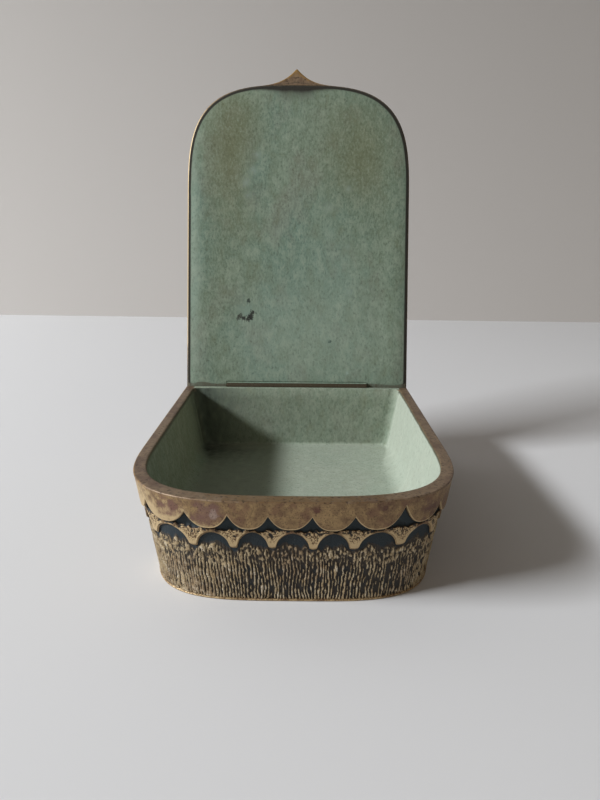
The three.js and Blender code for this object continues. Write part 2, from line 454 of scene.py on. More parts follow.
def strips(sizes: list[int], closed: bool) -> tuple[list[Array], list[Array]]:
    """Faces between rings of points, where a ring may hold fewer points than the last.

    Two rings of one size are joined by quads. A ring of four times the size of the next is
    joined to it by fans, and a ring of one point closes a pole.

    Args:
        sizes: how many points each ring has.
        closed: whether the last ring joins the first.

    Returns:
        The faces as arrays of point numbers, and for each face the number of its last ring.
    """
    first = np.concatenate([[0], np.cumsum(sizes)])[:-1]
    pairs = list(zip(range(len(sizes) - 1), range(1, len(sizes))))
    if closed:
        pairs.append((len(sizes) - 1, 0))
    faces, numbers = [], []
    for k, following in pairs:
        a, b, size, after = first[k], first[following], sizes[k], sizes[following]
        i = np.arange(max(size, after))
        j = (i + 1) % len(i)
        if size == after:
            made = [np.stack([a + i, b + i, b + j, a + j], 1)]
        elif after == 1:
            made = [np.stack([a + i, np.full_like(i, b), a + j], 1)]
        elif size == 1:
            made = [np.stack([np.full_like(i, a), b + i, b + j], 1)]
        elif size > after:
            made = fans(a, size, b, after)
        else:
            made = [m[:, ::-1] for m in fans(b, after, a, size)]
        faces.extend(made)
        numbers.extend([np.full(len(m), following) for m in made])
    return faces, numbers


def fans(fine: int, fine_size: int, sparse: int, sparse_size: int) -> list[Array]:
    """Triangles between a ring and the next one, which has a quarter as many points.

    Args:
        fine: the first point number of the fine ring.
        fine_size: its number of points.
        sparse: the first point number of the sparse ring.
        sparse_size: its number of points.

    Returns:
        The triangles, five to each step of the sparse ring.
    """
    j = np.arange(sparse_size)
    corner, after = sparse + j, sparse + (j + 1) % sparse_size
    f = [fine + (4 * j + k) % fine_size for k in range(5)]
    triangles = [
        (f[1], f[0], corner), (f[2], f[1], corner), (after, f[2], corner),
        (f[3], f[2], after), (f[4], f[3], after),
    ]
    return [np.stack(t, 1) for t in triangles]


def make_object(name: str, points: Array, faces: list[Array]) -> bpy.types.Object:
    """Makes a smooth-shaded mesh object from arrays.

    Args:
        name: the object's name.
        points: one row of x, y and z for each vertex, in metres.
        faces: arrays of vertex numbers, one row for each face.

    Returns:
        The object, linked to the scene, with its place in its mesh.
    """
    mesh = bpy.data.meshes.new(name)
    mesh.from_pydata(points, [], [face for block in faces for face in block.tolist()])
    mesh.polygons.foreach_set("use_smooth", np.ones(len(mesh.polygons), bool))
    mesh.update()
    made = bpy.data.objects.new(name, mesh)
    bpy.context.scene.collection.objects.link(made)
    return made


def tray_place(points: Array) -> Array:
    """Points of the working frame in mm, as points of the model in metres."""
    return (points + np.array([0.0, BACK_FACE, 0.0])) * MM


def lid_place(points: Array) -> Array:
    """Points of the closed lid in mm, turned open about the hinge, in metres.

    Args:
        points: rows of x, y and z in the working frame.

    Returns:
        The points after a turn by the open angle about +X, backwards.
    """
    cos, sin = math.cos(-OPEN_ANGLE), math.sin(-OPEN_ANGLE)
    y, z = points[:, 1] - AXIS_Y, points[:, 2] - AXIS_Z
    turned = np.stack([points[:, 0], AXIS_Y + y * cos - z * sin, AXIS_Z + y * sin + z * cos], 1)
    return tray_place(turned)


def casting(
    name: str, rows: Rows, place: Callable[[Array], Array], finishes: Materials,
    closed: bool = False, flip: bool = False,
) -> bpy.types.Object:
    """Joins rings of points into one closed mesh and dresses it.

    Args:
        name: the object's name.
        rows: the rings, counter-clockwise seen from where the first ring faces.
        place: maps points in mm to points of the model in metres.
        finishes: the materials, in the order of the surfaces' numbers.
        closed: whether the last ring joins the first.
        flip: whether the rings run clockwise instead.

    Returns:
        The object, with its finishes' numbers on its faces and its marks as attributes.
    """
    faces, numbers = strips([len(p) for p in rows.points], closed)
    if flip:
        faces = [block[:, ::-1] for block in faces]
    made = make_object(name, place(np.concatenate(rows.points)), faces)
    surface = np.array([s.value for s in rows.surface], np.int32)
    slots = np.concatenate([surface[number] for number in numbers])
    made.data.polygons.foreach_set("material_index", slots)
    marks = np.concatenate(rows.marks)
    for column, label in enumerate(MARKS):
        attribute = made.data.attributes.new(label, "FLOAT", "POINT")
        attribute.data.foreach_set("value", marks[:, column].astype(np.float32))
    grain = made.data.attributes.new("grain", "FLOAT_VECTOR", "POINT")
    flat = np.concatenate(rows.grain) * MM
    grain.data.foreach_set("vector", flat.astype(np.float32).ravel())
    for finish in finishes:
        made.data.materials.append(finish)
    return made


def rounded_edge(radius: float, steps: int) -> list[tuple[float, float]]:
    """Points of a quarter circle that rounds a corner, from one face to the next.

    Args:
        radius: the circle's radius, in mm.
        steps: the number of points.

    Returns:
        Pairs of distances from the corner, along the first face and along the next.
    """
    angles = np.linspace(0, np.pi / 2, steps)
    return [(radius * (1 - math.sin(a)), radius * (1 - math.cos(a))) for a in angles]


def linear(code: str) -> tuple[float, float, float, float]:
    """Turns an sRGB hex colour to linear light.

    Args:
        code: the colour, such as "#8a7050".

    Returns:
        Red, green, blue and 1, each colour c as ((c + 0.055) / 1.055)^2.4 above the toe.
    """
    parts = [int(code[i:i + 2], 16) / 255 for i in (1, 3, 5)]
    light = [p / 12.92 if p <= 0.04045 else ((p + 0.055) / 1.055) ** 2.4 for p in parts]
    return (*light, 1.0)


def per_metre(size: float) -> float:
    """The scale of a noise whose lumps measure that many mm."""
    return 1.0 / (size * MM)


def add(tree: Tree, kind: str, inputs: dict | None = None, **settings: object) -> bpy.types.Node:
    """Adds a node to a tree.

    Args:
        tree: the tree.
        kind: the node's type.
        inputs: for each input's name or number, a value or the socket that feeds it.
        settings: the node's own properties.

    Returns:
        The node.
    """
    made = tree.nodes.new(kind)
    for name, value in settings.items():
        setattr(made, name, value)
    for key, value in (inputs or {}).items():
        if isinstance(value, Socket):
            tree.links.new(value, made.inputs[key])
        else:
            made.inputs[key].default_value = value
    return made


def start_material(name: str) -> tuple[bpy.types.Material, Tree, Socket]:
    """Makes a material with a node tree that holds only the places on the piece.

    Args:
        name: its name.

    Returns:
        The material, its tree and the places.
    """
    material = bpy.data.materials.new(name)
    material.use_nodes = True
    material.node_tree.nodes.clear()
    place = add(material.node_tree, "ShaderNodeTexCoord").outputs["Object"]
    return material, material.node_tree, place


def lay(
    tree: Tree, below: Socket | tuple, above: Socket | str, value: Socket, low: float,
    high: float, most: float = 1.0, noise: Socket | None = None, amount: float = 0.0,
    smooth: bool = True,
) -> tuple[Socket, Socket]:
    """Lays one colour over another where a value passes from low to high.

    Args:
        tree: the material's tree.
        below: the colour below.
        above: the colour above, or its hex code.
        value: the value, which a noise times an amount may make ragged.
        low: the value that shows none of the colour above.
        high: the value that shows most of it.
        most: how much that is.
        noise: the noise.
        amount: the amount.
        smooth: whether the share rises by a smoothstep, not straight.

    Returns:
        The colour of both, and the share of the one above.
    """
    if noise is not None:
        value = add(tree, "ShaderNodeMath", {
            0: noise, 1: amount, 2: value,
        }, operation="MULTIPLY_ADD").outputs[0]
    share = add(tree, "ShaderNodeMapRange", {
        "Value": value, "From Min": low, "From Max": high, "To Max": most,
    }, interpolation_type="SMOOTHSTEP" if smooth else "LINEAR").outputs[0]
    colour = add(tree, "ShaderNodeMix", {
        0: share, 6: below, 7: linear(above) if isinstance(above, str) else above,
    }, data_type="RGBA").outputs[2]
    return colour, share


def end_material(
    tree: Tree, colour: Socket, share: Socket, metallic: tuple[float, float],
    roughness: tuple[float, float], bumps: tuple[tuple[Socket, float, float, bool], ...],
) -> None:
    """Adds the bumps, one on the other, the shader and the output.

    Args:
        tree: the material's tree.
        colour: the colour.
        share: the share by which metallic and roughness go from their first value to their
            second.
        metallic: the two values of metallic.
        roughness: the two values of roughness.
        bumps: for each bump its height, its strength, its depth in mm and whether it sinks.
    """
    inputs = {"Base Color": colour}
    for name, (start, end) in (("Metallic", metallic), ("Roughness", roughness)):
        inputs[name] = add(tree, "ShaderNodeMapRange", {
            "Value": share, "To Min": start, "To Max": end,
        }).outputs[0]
    normal = {}
    for height, strength, depth, sunk in bumps:
        bump = {"Height": height, "Strength": strength, "Distance": depth * MM}
        normal = {"Normal": add(tree, "ShaderNodeBump", bump | normal, invert=sunk).outputs[0]}
    shader = add(tree, "ShaderNodeBsdfPrincipled", inputs | normal)
    add(tree, "ShaderNodeOutputMaterial", {"Surface": shader.outputs[0]})


@dataclass(frozen=True)
class Spot:
    """A ragged spot of another colour on a finish."""

    centre: tuple[float, float, float]
    radius: float
    colour: str
    strength: float = 1.0
    softness: float = 0.3


def on_lid(x: float, from_hinge: float) -> tuple[float, float, float]:
    """A point of the open lid's inner face, in metres.

    Args:
        x: its place across the lid, in mm.
        from_hinge: its distance from the hinge axis, in mm.

    Returns:
        The point.
    """
    return tuple(lid_place(np.array([[x, AXIS_Y - from_hinge, AXIS_Z]]))[0])


def spotted(
    tree: Tree, spots: tuple[Spot, ...], place: Socket, noise: Socket, colour: Socket,
) -> Socket:
    """Lays spots over a colour, each within a distance of its centre that the noise varies.

    The noise, about a half, times 3 radii is added to the distance, and a spot ends where
    the sum is 2.5 radii.

    Args:
        tree: the material's tree.
        spots: the spots.
        place: the places on the piece.
        noise: the noise that makes their edges ragged.
        colour: the colour below.

    Returns:
        The colour with the spots.
    """
    for spot in spots:
        size = spot.radius * MM
        away = add(tree, "ShaderNodeVectorMath", {
            0: place, 1: spot.centre,
        }, operation="DISTANCE").outputs["Value"]
        colour, _ = lay(tree, colour, spot.colour, away, size * 2.5,
                        size * (2.5 - spot.softness), spot.strength, noise, size * 3.0)
    return colour


@dataclass(frozen=True)
class PatinatedBronze:
    """Sand-cast bronze with a chemical patina, rubbed bare by hand on what stands proud.

    To the eye: warm brown-gold metal with a soft satin gloss, mauve-brown clouds of stain,
    fine dark specks, blue-black in the hollows and a bright line where an edge is rubbed.
    """

    name: str
    metal: str = "#8e7352"
    deep_metal: str = "#6d553c"
    rubbed: str = "#bba47d"
    stain: str = "#65483f"
    speck: str = "#33261d"
    hollow: str = "#23201d"
    cold_hollow: str = "#1b282d"
    stain_share: float = 0.75
    cloud: float = 11.0
    tone: float = 2.0
    dot: float = 0.8
    fray: float = 0.42
    fray_length: float = 0.4
    raggedness: float = 0.5
    metallic: tuple[float, float] = (0.4, 0.2)
    roughness: tuple[float, float] = (0.48, 0.68)
    spots: tuple[Spot, ...] = ()

    def material(self) -> bpy.types.Material:
        """Builds the node material.

        Specks and the stipple of the pits are the tops of one noise of dots. Metal is rubbed
        where wear_and_highlight plus a tone, less the pits, is high, which also paints highlights.
        It is dark where hollow plus a fray along the grain is high, which also paints
        shade, and blue-black in the deepest hollows.

        Returns:
            The material. It reads the marks wear_and_highlight, hollow and pits, and
            the grain.
        """
        material, tree, place = start_material(self.name)
        wear_and_highlight, hollow, pits = (
            add(tree, "ShaderNodeAttribute", attribute_name=label).outputs["Fac"]
            for label in MARKS
        )
        grain = add(tree, "ShaderNodeAttribute", attribute_name="grain").outputs["Vector"]
        long_grain = add(tree, "ShaderNodeMapping", {
            "Vector": grain, "Scale": (1.0, 1.0, self.fray_length),
        }).outputs[0]
        fray, tone, cloud, dots = (
            add(tree, "ShaderNodeTexNoise", {
                "Vector": vector, "Scale": per_metre(size), "Detail": detail, "Roughness": rough,
            }).outputs["Fac"]
            for vector, size, detail, rough in (
                (long_grain, self.fray, 3.0, 0.7), (place, self.tone, 5.0, 0.65),
                (place, self.cloud, 3.0, 0.6), (place, self.dot, 1.0, 0.5),
            )
        )
        colour, _ = lay(tree, linear(self.deep_metal), self.metal, tone, 0.35, 0.62, smooth=False)
        colour, _ = lay(tree, colour, self.stain, cloud, 0.52, 0.6, self.stain_share)
        colour = spotted(tree, self.spots, place, tone, colour)
        specked, pitted = (
            add(tree, "ShaderNodeMapRange", {
                "Value": dots, "From Min": low, "From Max": high, "To Max": most,
            }).outputs[0]
            for low, high, most in ((0.56, 0.7, 0.7), (0.49, 0.6, 1.0))
        )
        pitted = add(tree, "ShaderNodeMath", {0: pitted, 1: pits}, operation="MULTIPLY").outputs[0]
        dark = add(tree, "ShaderNodeMath", {
            0: specked, 1: pitted,
        }, operation="MAXIMUM").outputs[0]
        colour = add(tree, "ShaderNodeMix", {
            0: dark, 6: colour, 7: linear(self.speck),
        }, data_type="RGBA").outputs[2]
        rub_and_highlight = add(tree, "ShaderNodeMath", {
            0: tone, 1: 0.7, 2: wear_and_highlight,
        }, operation="MULTIPLY_ADD").outputs[0]
        rub_and_highlight = add(tree, "ShaderNodeMath", {0: rub_and_highlight, 1: pitted}, operation="SUBTRACT").outputs[0]
        colour, _ = lay(tree, colour, self.rubbed, rub_and_highlight, 0.95, 1.3)
        deep, _ = lay(tree, linear(self.hollow), self.cold_hollow, hollow, 1.04, 1.2,
                      noise=tone, amount=0.5, smooth=False)
        colour, depth = lay(tree, colour, deep, hollow, 0.6, 0.9,
                            noise=fray, amount=self.raggedness)
        end_material(tree, colour, depth, self.metallic, self.roughness,
                     ((tone, 0.6, 0.12, False), (dark, 0.7, 0.08, True)))
        return material


@dataclass(frozen=True)
class Verdigris:
    """A painted-on verdigris patina: a thick, dull crust of copper salts on rough bronze.

    To the eye: matt grey-green with no gloss, clouded in large soft patches of teal, grey
    and olive, mottled like sugar close up, with pale flecks, and brown where it is thin.
    """

    name: str
    green: str = "#6b7c6b"
    teal: str = "#637d71"
    grey: str = "#727469"
    olive: str = "#636649"
    pale: str = "#869483"
    chalk: str = "#9aaa9d"
    bare: str = "#605c4e"
    dark: str = "#23211a"
    cloud: float = 26.0
    patch: float = 14.0
    mottle: float = 3.2
    sugar: float = 0.8
    brushed: float = 0.6
    metallic: tuple[float, float] = (0.0, 0.5)
    roughness: tuple[float, float] = (0.92, 0.45)
    spots: tuple[Spot, ...] = ()

    def material(self) -> bpy.types.Material:
        """Builds the node material.

        Returns:
            The material. It reads wear_and_highlight as bare metal, hollow as a dark
            colour that is mostly painted shade, and pits as the olive tint of a thin coat, or below
            zero as chalkiness, which in places partly paints light.
        """
        material, tree, place = start_material(self.name)
        wear_and_highlight, hollow, thin = (
            add(tree, "ShaderNodeAttribute", attribute_name=label).outputs["Fac"]
            for label in MARKS
        )
        upright = add(tree, "ShaderNodeMapping", {
            "Vector": place, "Scale": (1.0, 1.0, self.brushed),
        }).outputs[0]
        cloud, patch, mottle, sugar = (
            add(tree, "ShaderNodeTexNoise", {
                "Vector": upright, "Scale": per_metre(size), "Detail": detail, "Roughness": 0.65,
            }).outputs["Fac"]
            for size, detail in (
                (self.cloud, 3.0), (self.patch, 4.0), (self.mottle, 6.0), (self.sugar, 3.0),
            )
        )
        colour = linear(self.green)
        for value, low, high, most, code in (
            (cloud, 0.42, 0.6, 0.7, self.teal), (patch, 0.5, 0.66, 0.45, self.grey),
            (mottle, 0.47, 0.66, 0.68, self.pale), (mottle, 0.5, 0.3, 0.3, self.olive),
            (thin, 0.0, 1.0, 0.9, self.olive), (thin, 0.0, -1.0, 1.0, self.chalk),
            (sugar, 0.5, 0.75, 0.5, self.pale), (sugar, 0.45, 0.25, 0.4, self.dark),
        ):
            colour, _ = lay(tree, colour, code, value, low, high, most, smooth=False)
        colour, _ = lay(tree, colour, self.dark, hollow, 0.4, 1.1, noise=mottle, amount=0.6)
        colour, bare = lay(tree, colour, self.bare, wear_and_highlight, 0.6, 1.0, noise=mottle, amount=0.6)
        colour = spotted(tree, self.spots, place, sugar, colour)
        end_material(tree, colour, bare, self.metallic, self.roughness,
                     ((mottle, 0.6, 0.22, False), (sugar, 0.6, 0.1, False)))
        return material


@dataclass(frozen=True)
class Barrel:
    """The hinge barrel at the back edge, and the room that the castings leave for it."""

    radius: float = 1.6
    length: float = 57.0
    clearance: float = 0.06

    def channel(self, x: Array) -> tuple[float, Array]:
        """The channel's radius, and which places along the hinge it takes in, in mm."""
        return self.radius + self.clearance, np.abs(x) < self.length / 2 + self.clearance


@dataclass
class Piece:
    """What the castings share: finishes, outline, pattern, barrel and the rings so far."""

    finishes: Materials
    shape: BoxShape = field(default_factory=BoxShape)
    pattern: WallPattern = field(default_factory=WallPattern)
    barrel: Barrel = field(default_factory=Barrel)
    rows: Rows = field(default_factory=Rows)

    def wall_ring(
        self, s: Stations, drop: Amount, inset: Amount, surface: Surface,
        wear_and_highlight: Amount = 0.0, hollow: Amount = 0.0, pits: Amount = 0.0,
    ) -> None:
        """Adds a ring of wall points at some drops from the rim and insets from the lappets.

        Args:
            s: the stations.
            drop: drops below the rim, in mm.
            inset: insets from the face of the lappets, in mm.
            surface: the finish.
            wear_and_highlight: rubbed bright metal and painted highlights, from 0 to 1.
            hollow: dark patina in the hollows and painted shade, from 0 to 1.
            pits: how far the surface is stippled, from 0 to 1.
        """
        height = self.shape.height - np.asarray(drop, float)
        x, y = self.shape.outline(s.place, height, np.asarray(inset, float))
        self.rows.add((x, y, height), surface, wear_and_highlight, hollow, pits, s.grain(drop))


@dataclass
class Tray(Piece):
    """The lower casting: floor, leaning wall with its relief, and a foot hollowed out beneath."""

    wall: float = 3.4
    floor: float = 5.6
    ceiling: float = 2.4
    foot: float = 3.5
    tooth_inset: float = 0.85
    recess: float = 1.45
    seat: float = 1.95
    lip: float = 1.0
    lip_height: float = 0.45
    edge: float = 0.35
    lappet_edge: float = 0.2
    lip_edge: float = 0.25
    corner: float = 3.6
    fillet: float = 5.0
    back_fillet: float = 1.0
    front_wall: float = 1.0
    back_bevel: float = 0.8
    coated_rim: float = 2.6
    chalkiness: float = 0.3
    shade_reach: float = 20.0
    per_lappet: int = 40

    def build(self) -> bpy.types.Object:
        """Builds the whole casting as one closed mesh.

        The rings run from the middle of the floor up the inside, over the rim, down the
        relief and in under the foot to the middle of the underside.

        Returns:
            The object.
        """
        fine = self.pattern.stations(self.shape, self.per_lappet)
        self.add_inside(fine.sparse())
        self.add_rim(fine)
        self.add_relief(fine)
        self.add_underside(fine.sparse())
        self.cut_channel()
        made = casting("tray_casting", self.rows, tray_place, self.finishes)
        self.coat_back_rim(made)
        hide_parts("tray")
        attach(made, Body.TRAY.value)
        return made

    def coat_back_rim(self, made: bpy.types.Object) -> None:
        """Gives the top of the back wall the verdigris of the inside.

        Args:
            made: the finished casting.
        """
        faces = made.data.polygons
        middle, slot = np.empty(3 * len(faces)), np.empty(len(faces), np.int32)
        faces.foreach_get("center", middle)
        faces.foreach_get("material_index", slot)
        x, y, z = middle.reshape(-1, 3).T / MM
        back = (y > BACK_FACE - self.wall) & (z > self.shape.height - self.coated_rim)
        back &= (np.abs(x) < self.shape.width / 2 - self.wall) & (slot == Surface.RIM.value)
        slot[back] = Surface.VERDIGRIS.value
        faces.foreach_set("material_index", slot)

    def inner(self, s: Stations, height: Amount, inset: Amount) -> Points:
        """Points of the inside, with the two back corners rounded.

        A point that lies in the square of a corner moves towards the middle of that
        corner's circle until it is on the circle.

        Args:
            s: the stations.
            height: the height above the table, in mm.
            inset: insets from the face of the lappets, in mm.

        Returns:
            The points' x, y and z, in mm.
        """
        x, y = self.shape.outline(s.place, height, np.asarray(inset, float))
        side = np.abs(x).max() - self.corner
        across, along = np.abs(x) - side, y - (y.max() - self.corner)
        away = np.hypot(across, along)
        turned = (across > 0) & (along > 0)
        scale = np.where(turned, self.corner / np.maximum(away, 0.01), 1.0)
        x = np.where(turned, np.sign(x) * (side + across * scale), x)
        y = np.where(turned, y.max() - self.corner + along * scale, y)
        return x, y, height + 0.0 * x

    def add_inside(self, s: Stations) -> None:
        """Adds the floor and the inner faces of the walls, with rounded corners.

        The fillet between floor and wall is a quarter circle. At the back the wall's top
        leans out in a bevel, up to the hinge.

        Args:
            s: the stations.
        """
        top, wall = self.shape.height, self.thickness(s)
        sides = smoothstep(0.02, 0.3, s.place) * smoothstep(2.98, 2.7, s.place)
        r = self.back_fillet + (self.fillet - self.back_fillet) * sides
        # The floor and walls carry painted shade: in the back-left corner, on the back wall and
        # over the floor's left half.
        self.rows.add_plate(
            self.inner(s, self.floor, wall + r), np.linspace(0, 1, 16), Surface.VERDIGRIS, 0.25,
            marks=lambda points: {"hollow": self.floor_shade(points), "pits": -self.chalkiness},
        )
        for turn in np.linspace(0, 0.5 * math.pi, 8)[1:]:
            height = self.floor + r * (1 - math.cos(turn))
            points = self.inner(s, height, wall + r * (1 - math.sin(turn)))
            share = turn / (0.5 * math.pi)
            inner_shade = self.floor_shade(points) * (1 - share) + self.inner_shade(points) * share
            self.rows.add(points, Surface.VERDIGRIS, hollow=inner_shade,
                          pits=self.coat(s) * share - self.chalkiness * (1 - share))
        for share in np.linspace(0.08, 1, 11):
            height = self.floor + r + (top - 0.25 - self.floor - r) * share
            ripple = value_noise(s.arc, s.arc * 0 + 30 * share, (7.0, 5.0), 7, s.perimeter) - 0.5
            bevel = self.bevel(s) * smoothstep(0.9, 1.0, share)
            inset = wall + 0.2 * ripple * math.sin(math.pi * share) - bevel
            points = self.inner(s, height, inset)
            self.rows.add(points, Surface.VERDIGRIS, wear_and_highlight=0.8 * (s.place < 3) * share ** 40,
                          hollow=self.inner_shade(points), pits=self.coat(s))

    def thickness(self, s: Stations) -> Array:
        """The wall's thickness at the rim, in mm, which grows round the front."""
        return self.wall + self.front_wall * smoothstep(1.15, 1.4, s.place) * smoothstep(
            1.85, 1.6, s.place)

    def bevel(self, s: Stations) -> Array:
        """How far the back wall's top is bevelled, in mm, with soft ends at the corners."""
        ends = smoothstep(3.0, 3.1, s.place) * smoothstep(4.0, 3.9, s.place)
        return self.back_bevel * ends

    def coat(self, s: Stations) -> Array:
        """How olive or chalky the coat is: olive and thin on the left wall, pale and chalky on the
        right, a paleness that partly paints the lamp's light on that lit wall.

        Args:
            s: the stations.

        Returns:
            Shares from -0.5, where it is chalky, to 0.45, where it is thin.
        """
        thin = 0.45 * smoothstep(1.3, 0.4, s.place)
        chalky = smoothstep(1.5, 1.95, s.place) * smoothstep(3.0, 2.97, s.place)
        return thin - 0.5 * chalky

    def inner_shade(self, points: Points) -> Array:
        """Painted shade: some on the back wall, more in its left corner, as exp(-(d / reach)^2).

        Args:
            points: points of the inside, in mm.

        Returns:
            Shades from 0 to 0.57.
        """
        away = np.hypot(points[0] + self.shape.width / 2 - self.wall, points[1] + self.wall)
        back = 0.12 * smoothstep(-self.wall - 5.0, -self.wall, points[1])
        return 0.45 * np.exp(-(away / self.shade_reach) ** 2) + back

    def floor_shade(self, points: Points) -> Array:
        """Painted shade on the floor: that of the walls, and a painted shadow over its left half.
        """
        left_shadow = 0.26 * smoothstep(-self.wall, -self.wall - 9.0, points[1])
        return self.inner_shade(points) + left_shadow * smoothstep(8.0, -14.0, points[0])

    def add_rim(self, fine: Stations) -> None:
        """Adds the flat rim: a small inner bevel, the flat and a rubbed outer edge.

        Args:
            fine: the stations of the relief.
        """
        s = fine.sparse()
        top, inner = self.shape.height, self.thickness(s) - self.bevel(s)
        self.rows.add(self.inner(s, top - 0.1, inner - 0.05), Surface.RIM, wear_and_highlight=0.2)
        for share in (0.94, 0.75, 0.5):
            self.rows.add(self.inner(s, top, inner * share), Surface.RIM, wear_and_highlight=0.1)
        for inset in (1.4, 1.1, 0.8, 0.6):
            self.wall_ring(fine, 0.0, inset, Surface.RIM, wear_and_highlight=0.15)
        for across, down in rounded_edge(self.edge, 5):
            lit = 0.5 * smoothstep(1.4, 1.15, fine.place)
            self.wall_ring(fine, down, 0.08 + across, Surface.RIM, wear_and_highlight=0.3 + lit)

    def add_relief(self, s: Stations) -> None:
        """Adds the lappets, the toothed row, the bark's seat and the lip, from the rim down.

        Args:
            s: the stations.
        """
        lappet, tooth = self.pattern.lappet_edge(s), self.pattern.tooth_edge(s)
        tooth_top = np.maximum(self.pattern.tooth_top + 1.0 * s.noise(0.8, 11), lappet + 0.3)
        tooth_top = np.minimum(tooth_top, tooth - 0.7)
        self.add_band(s, lappet)
        for share in (0.35, 0.7):
            drop = lappet + 0.12 + (tooth_top - lappet - 0.12) * share
            self.wall_ring(s, drop, self.recess, Surface.RELIEF, hollow=1.0)
        self.add_teeth(s, tooth_top, tooth)
        self.add_base(s, tooth)

    def add_band(self, s: Stations, lappet: Array) -> None:
        """Adds the smooth band and its lappets, slightly pillowed towards their edge.

        Args:
            s: the stations.
            lappet: the lappets' edge, as drops in mm.
        """
        radius = self.lappet_edge
        # Painted light: the band is brighter towards the left, where the lamp falls, and a little
        # darker towards the right.
        lit = 0.6 * smoothstep(1.5, 1.15, s.place) - 0.15 * smoothstep(1.6, 1.9, s.place)
        for share in (0.12, 0.28, 0.45, 0.62, 0.78, 0.9, 0.965, 1.0):
            drop = self.edge + (lappet - radius - self.edge) * share
            wave = value_noise(s.arc, drop, (4.5, 4.0), 12, s.perimeter)
            inset = 0.08 + 0.12 * wave + 0.06 * share ** 4
            rub_and_highlight = 1.0 if share > 0.97 else 0.22 + 0.3 * share ** 2
            self.wall_ring(s, drop, inset, Surface.BAND, wear_and_highlight=rub_and_highlight + lit)
        for along, inward in rounded_edge(radius, 4)[1:]:
            self.wall_ring(s, lappet - along, 0.18 + inward, Surface.BAND, wear_and_highlight=1.0)
        self.wall_ring(s, lappet + 0.06, self.recess * 0.65, Surface.RELIEF, 0.1, 0.7)
        self.wall_ring(s, lappet + 0.12, self.recess, Surface.RELIEF, hollow=1.0)

    def add_teeth(self, s: Stations, top: Array, edge: Array) -> None:
        """Adds the row of teeth, stippled above and smooth below, down to its rounded edge.

        Args:
            s: the stations.
            top: the row's upper edge, as drops in mm.
            edge: its lower edge.
        """
        self.wall_ring(s, top, self.recess, Surface.RELIEF, hollow=1.0)
        self.wall_ring(s, top + 0.1, self.tooth_inset + 0.15, Surface.BAND, 0.3, 0.5, 1.0)
        last = np.maximum(edge - 0.5, top + 0.25)
        body = smoothstep(0.15, 0.6, self.pattern.near_tip(s))
        bright = 0.55 + 0.45 * body
        for share in (*np.linspace(0, 0.93, 10), 1.0):
            drop = top + 0.2 + (last - top - 0.2) * share
            pit = value_noise(s.arc, drop, (0.5, 0.5), 13, s.perimeter)
            upper = smoothstep(1.0, 0.25, share)
            depth = smoothstep(0.45, 0.7, pit) * upper
            rub_and_highlight = 1.1 if share > 0.97 else 1.0 + 0.1 * share
            hollow = 0.6 * depth + 0.25 * (1 - body) + 0.12 * upper
            self.wall_ring(s, drop, self.tooth_inset + 0.2 * depth, Surface.BAND, rub_and_highlight * bright,
                           hollow, 0.9 * upper)
        for along, inward, rub_and_highlight, hollow in ((0.4, 0.1, 0.3, 0.35), (0.2, 0.22, 0.9, 0.1),
                                           (0.06, 0.34, 0.6, 0.3)):
            self.wall_ring(s, edge - along, self.tooth_inset + inward, Surface.BAND,
                           rub_and_highlight * bright, hollow)
        self.wall_ring(s, edge + 0.1, self.recess, Surface.RELIEF, hollow=1.0)

    def add_base(self, s: Stations, edge: Array) -> None:
        """Adds the recess under the arches, the seat of the bark and the plain lip.

        Args:
            s: the stations.
            edge: the lower edge of the teeth, as drops in mm.
        """
        bottom = self.shape.height
        lip_top = bottom - self.lip_height
        self.wall_ring(s, edge + 0.4, self.seat, Surface.RELIEF, hollow=1.0)
        for share in (0.4, 0.98):
            drop = edge + (lip_top - edge) * share
            self.wall_ring(s, drop, self.seat, Surface.RELIEF, hollow=1.0)
        self.wall_ring(s, lip_top, self.lip + 0.05, Surface.BAND, wear_and_highlight=0.85, pits=0.4)
        for along, inward in rounded_edge(self.lip_edge, 4):
            self.wall_ring(s, bottom - along, self.lip + inward, Surface.BAND, wear_and_highlight=0.8)

    def add_underside(self, s: Stations) -> None:
        """Adds the flat foot, the space hollowed out inside it and the plain underside of the
        floor.

        Args:
            s: the stations.
        """
        inner = self.lip + self.foot
        for inset in (self.lip + 0.6, inner - 0.2):
            self.wall_ring(s, self.shape.height, inset, Surface.UNDERSIDE, wear_and_highlight=0.3)
        x, y = self.shape.outline(s.place, 0.0, inner)
        for height in (0.2, self.ceiling - 0.4):
            self.rows.add((x, y, height), Surface.UNDERSIDE, hollow=0.3)
        self.rows.add_plate((x, y, self.ceiling), np.linspace(0.985, 0, 10),
                            Surface.UNDERSIDE, 0.2)

    def cut_channel(self) -> None:
        """Bends the top of the back round the hinge barrel.

        Points nearer to the hinge axis than the channel's radius are pushed straight out
        to it.
        """
        for ring in self.rows.points:
            radius, inside = self.barrel.channel(ring[:, 0])
            y, z = ring[:, 1] - AXIS_Y, ring[:, 2] - AXIS_Z
            away = np.hypot(y, z)
            scale = np.where(inside & (away < radius), radius / np.maximum(away, 0.01), 1.0)
            ring[:, 1], ring[:, 2] = AXIS_Y + y * scale, AXIS_Z + z * scale


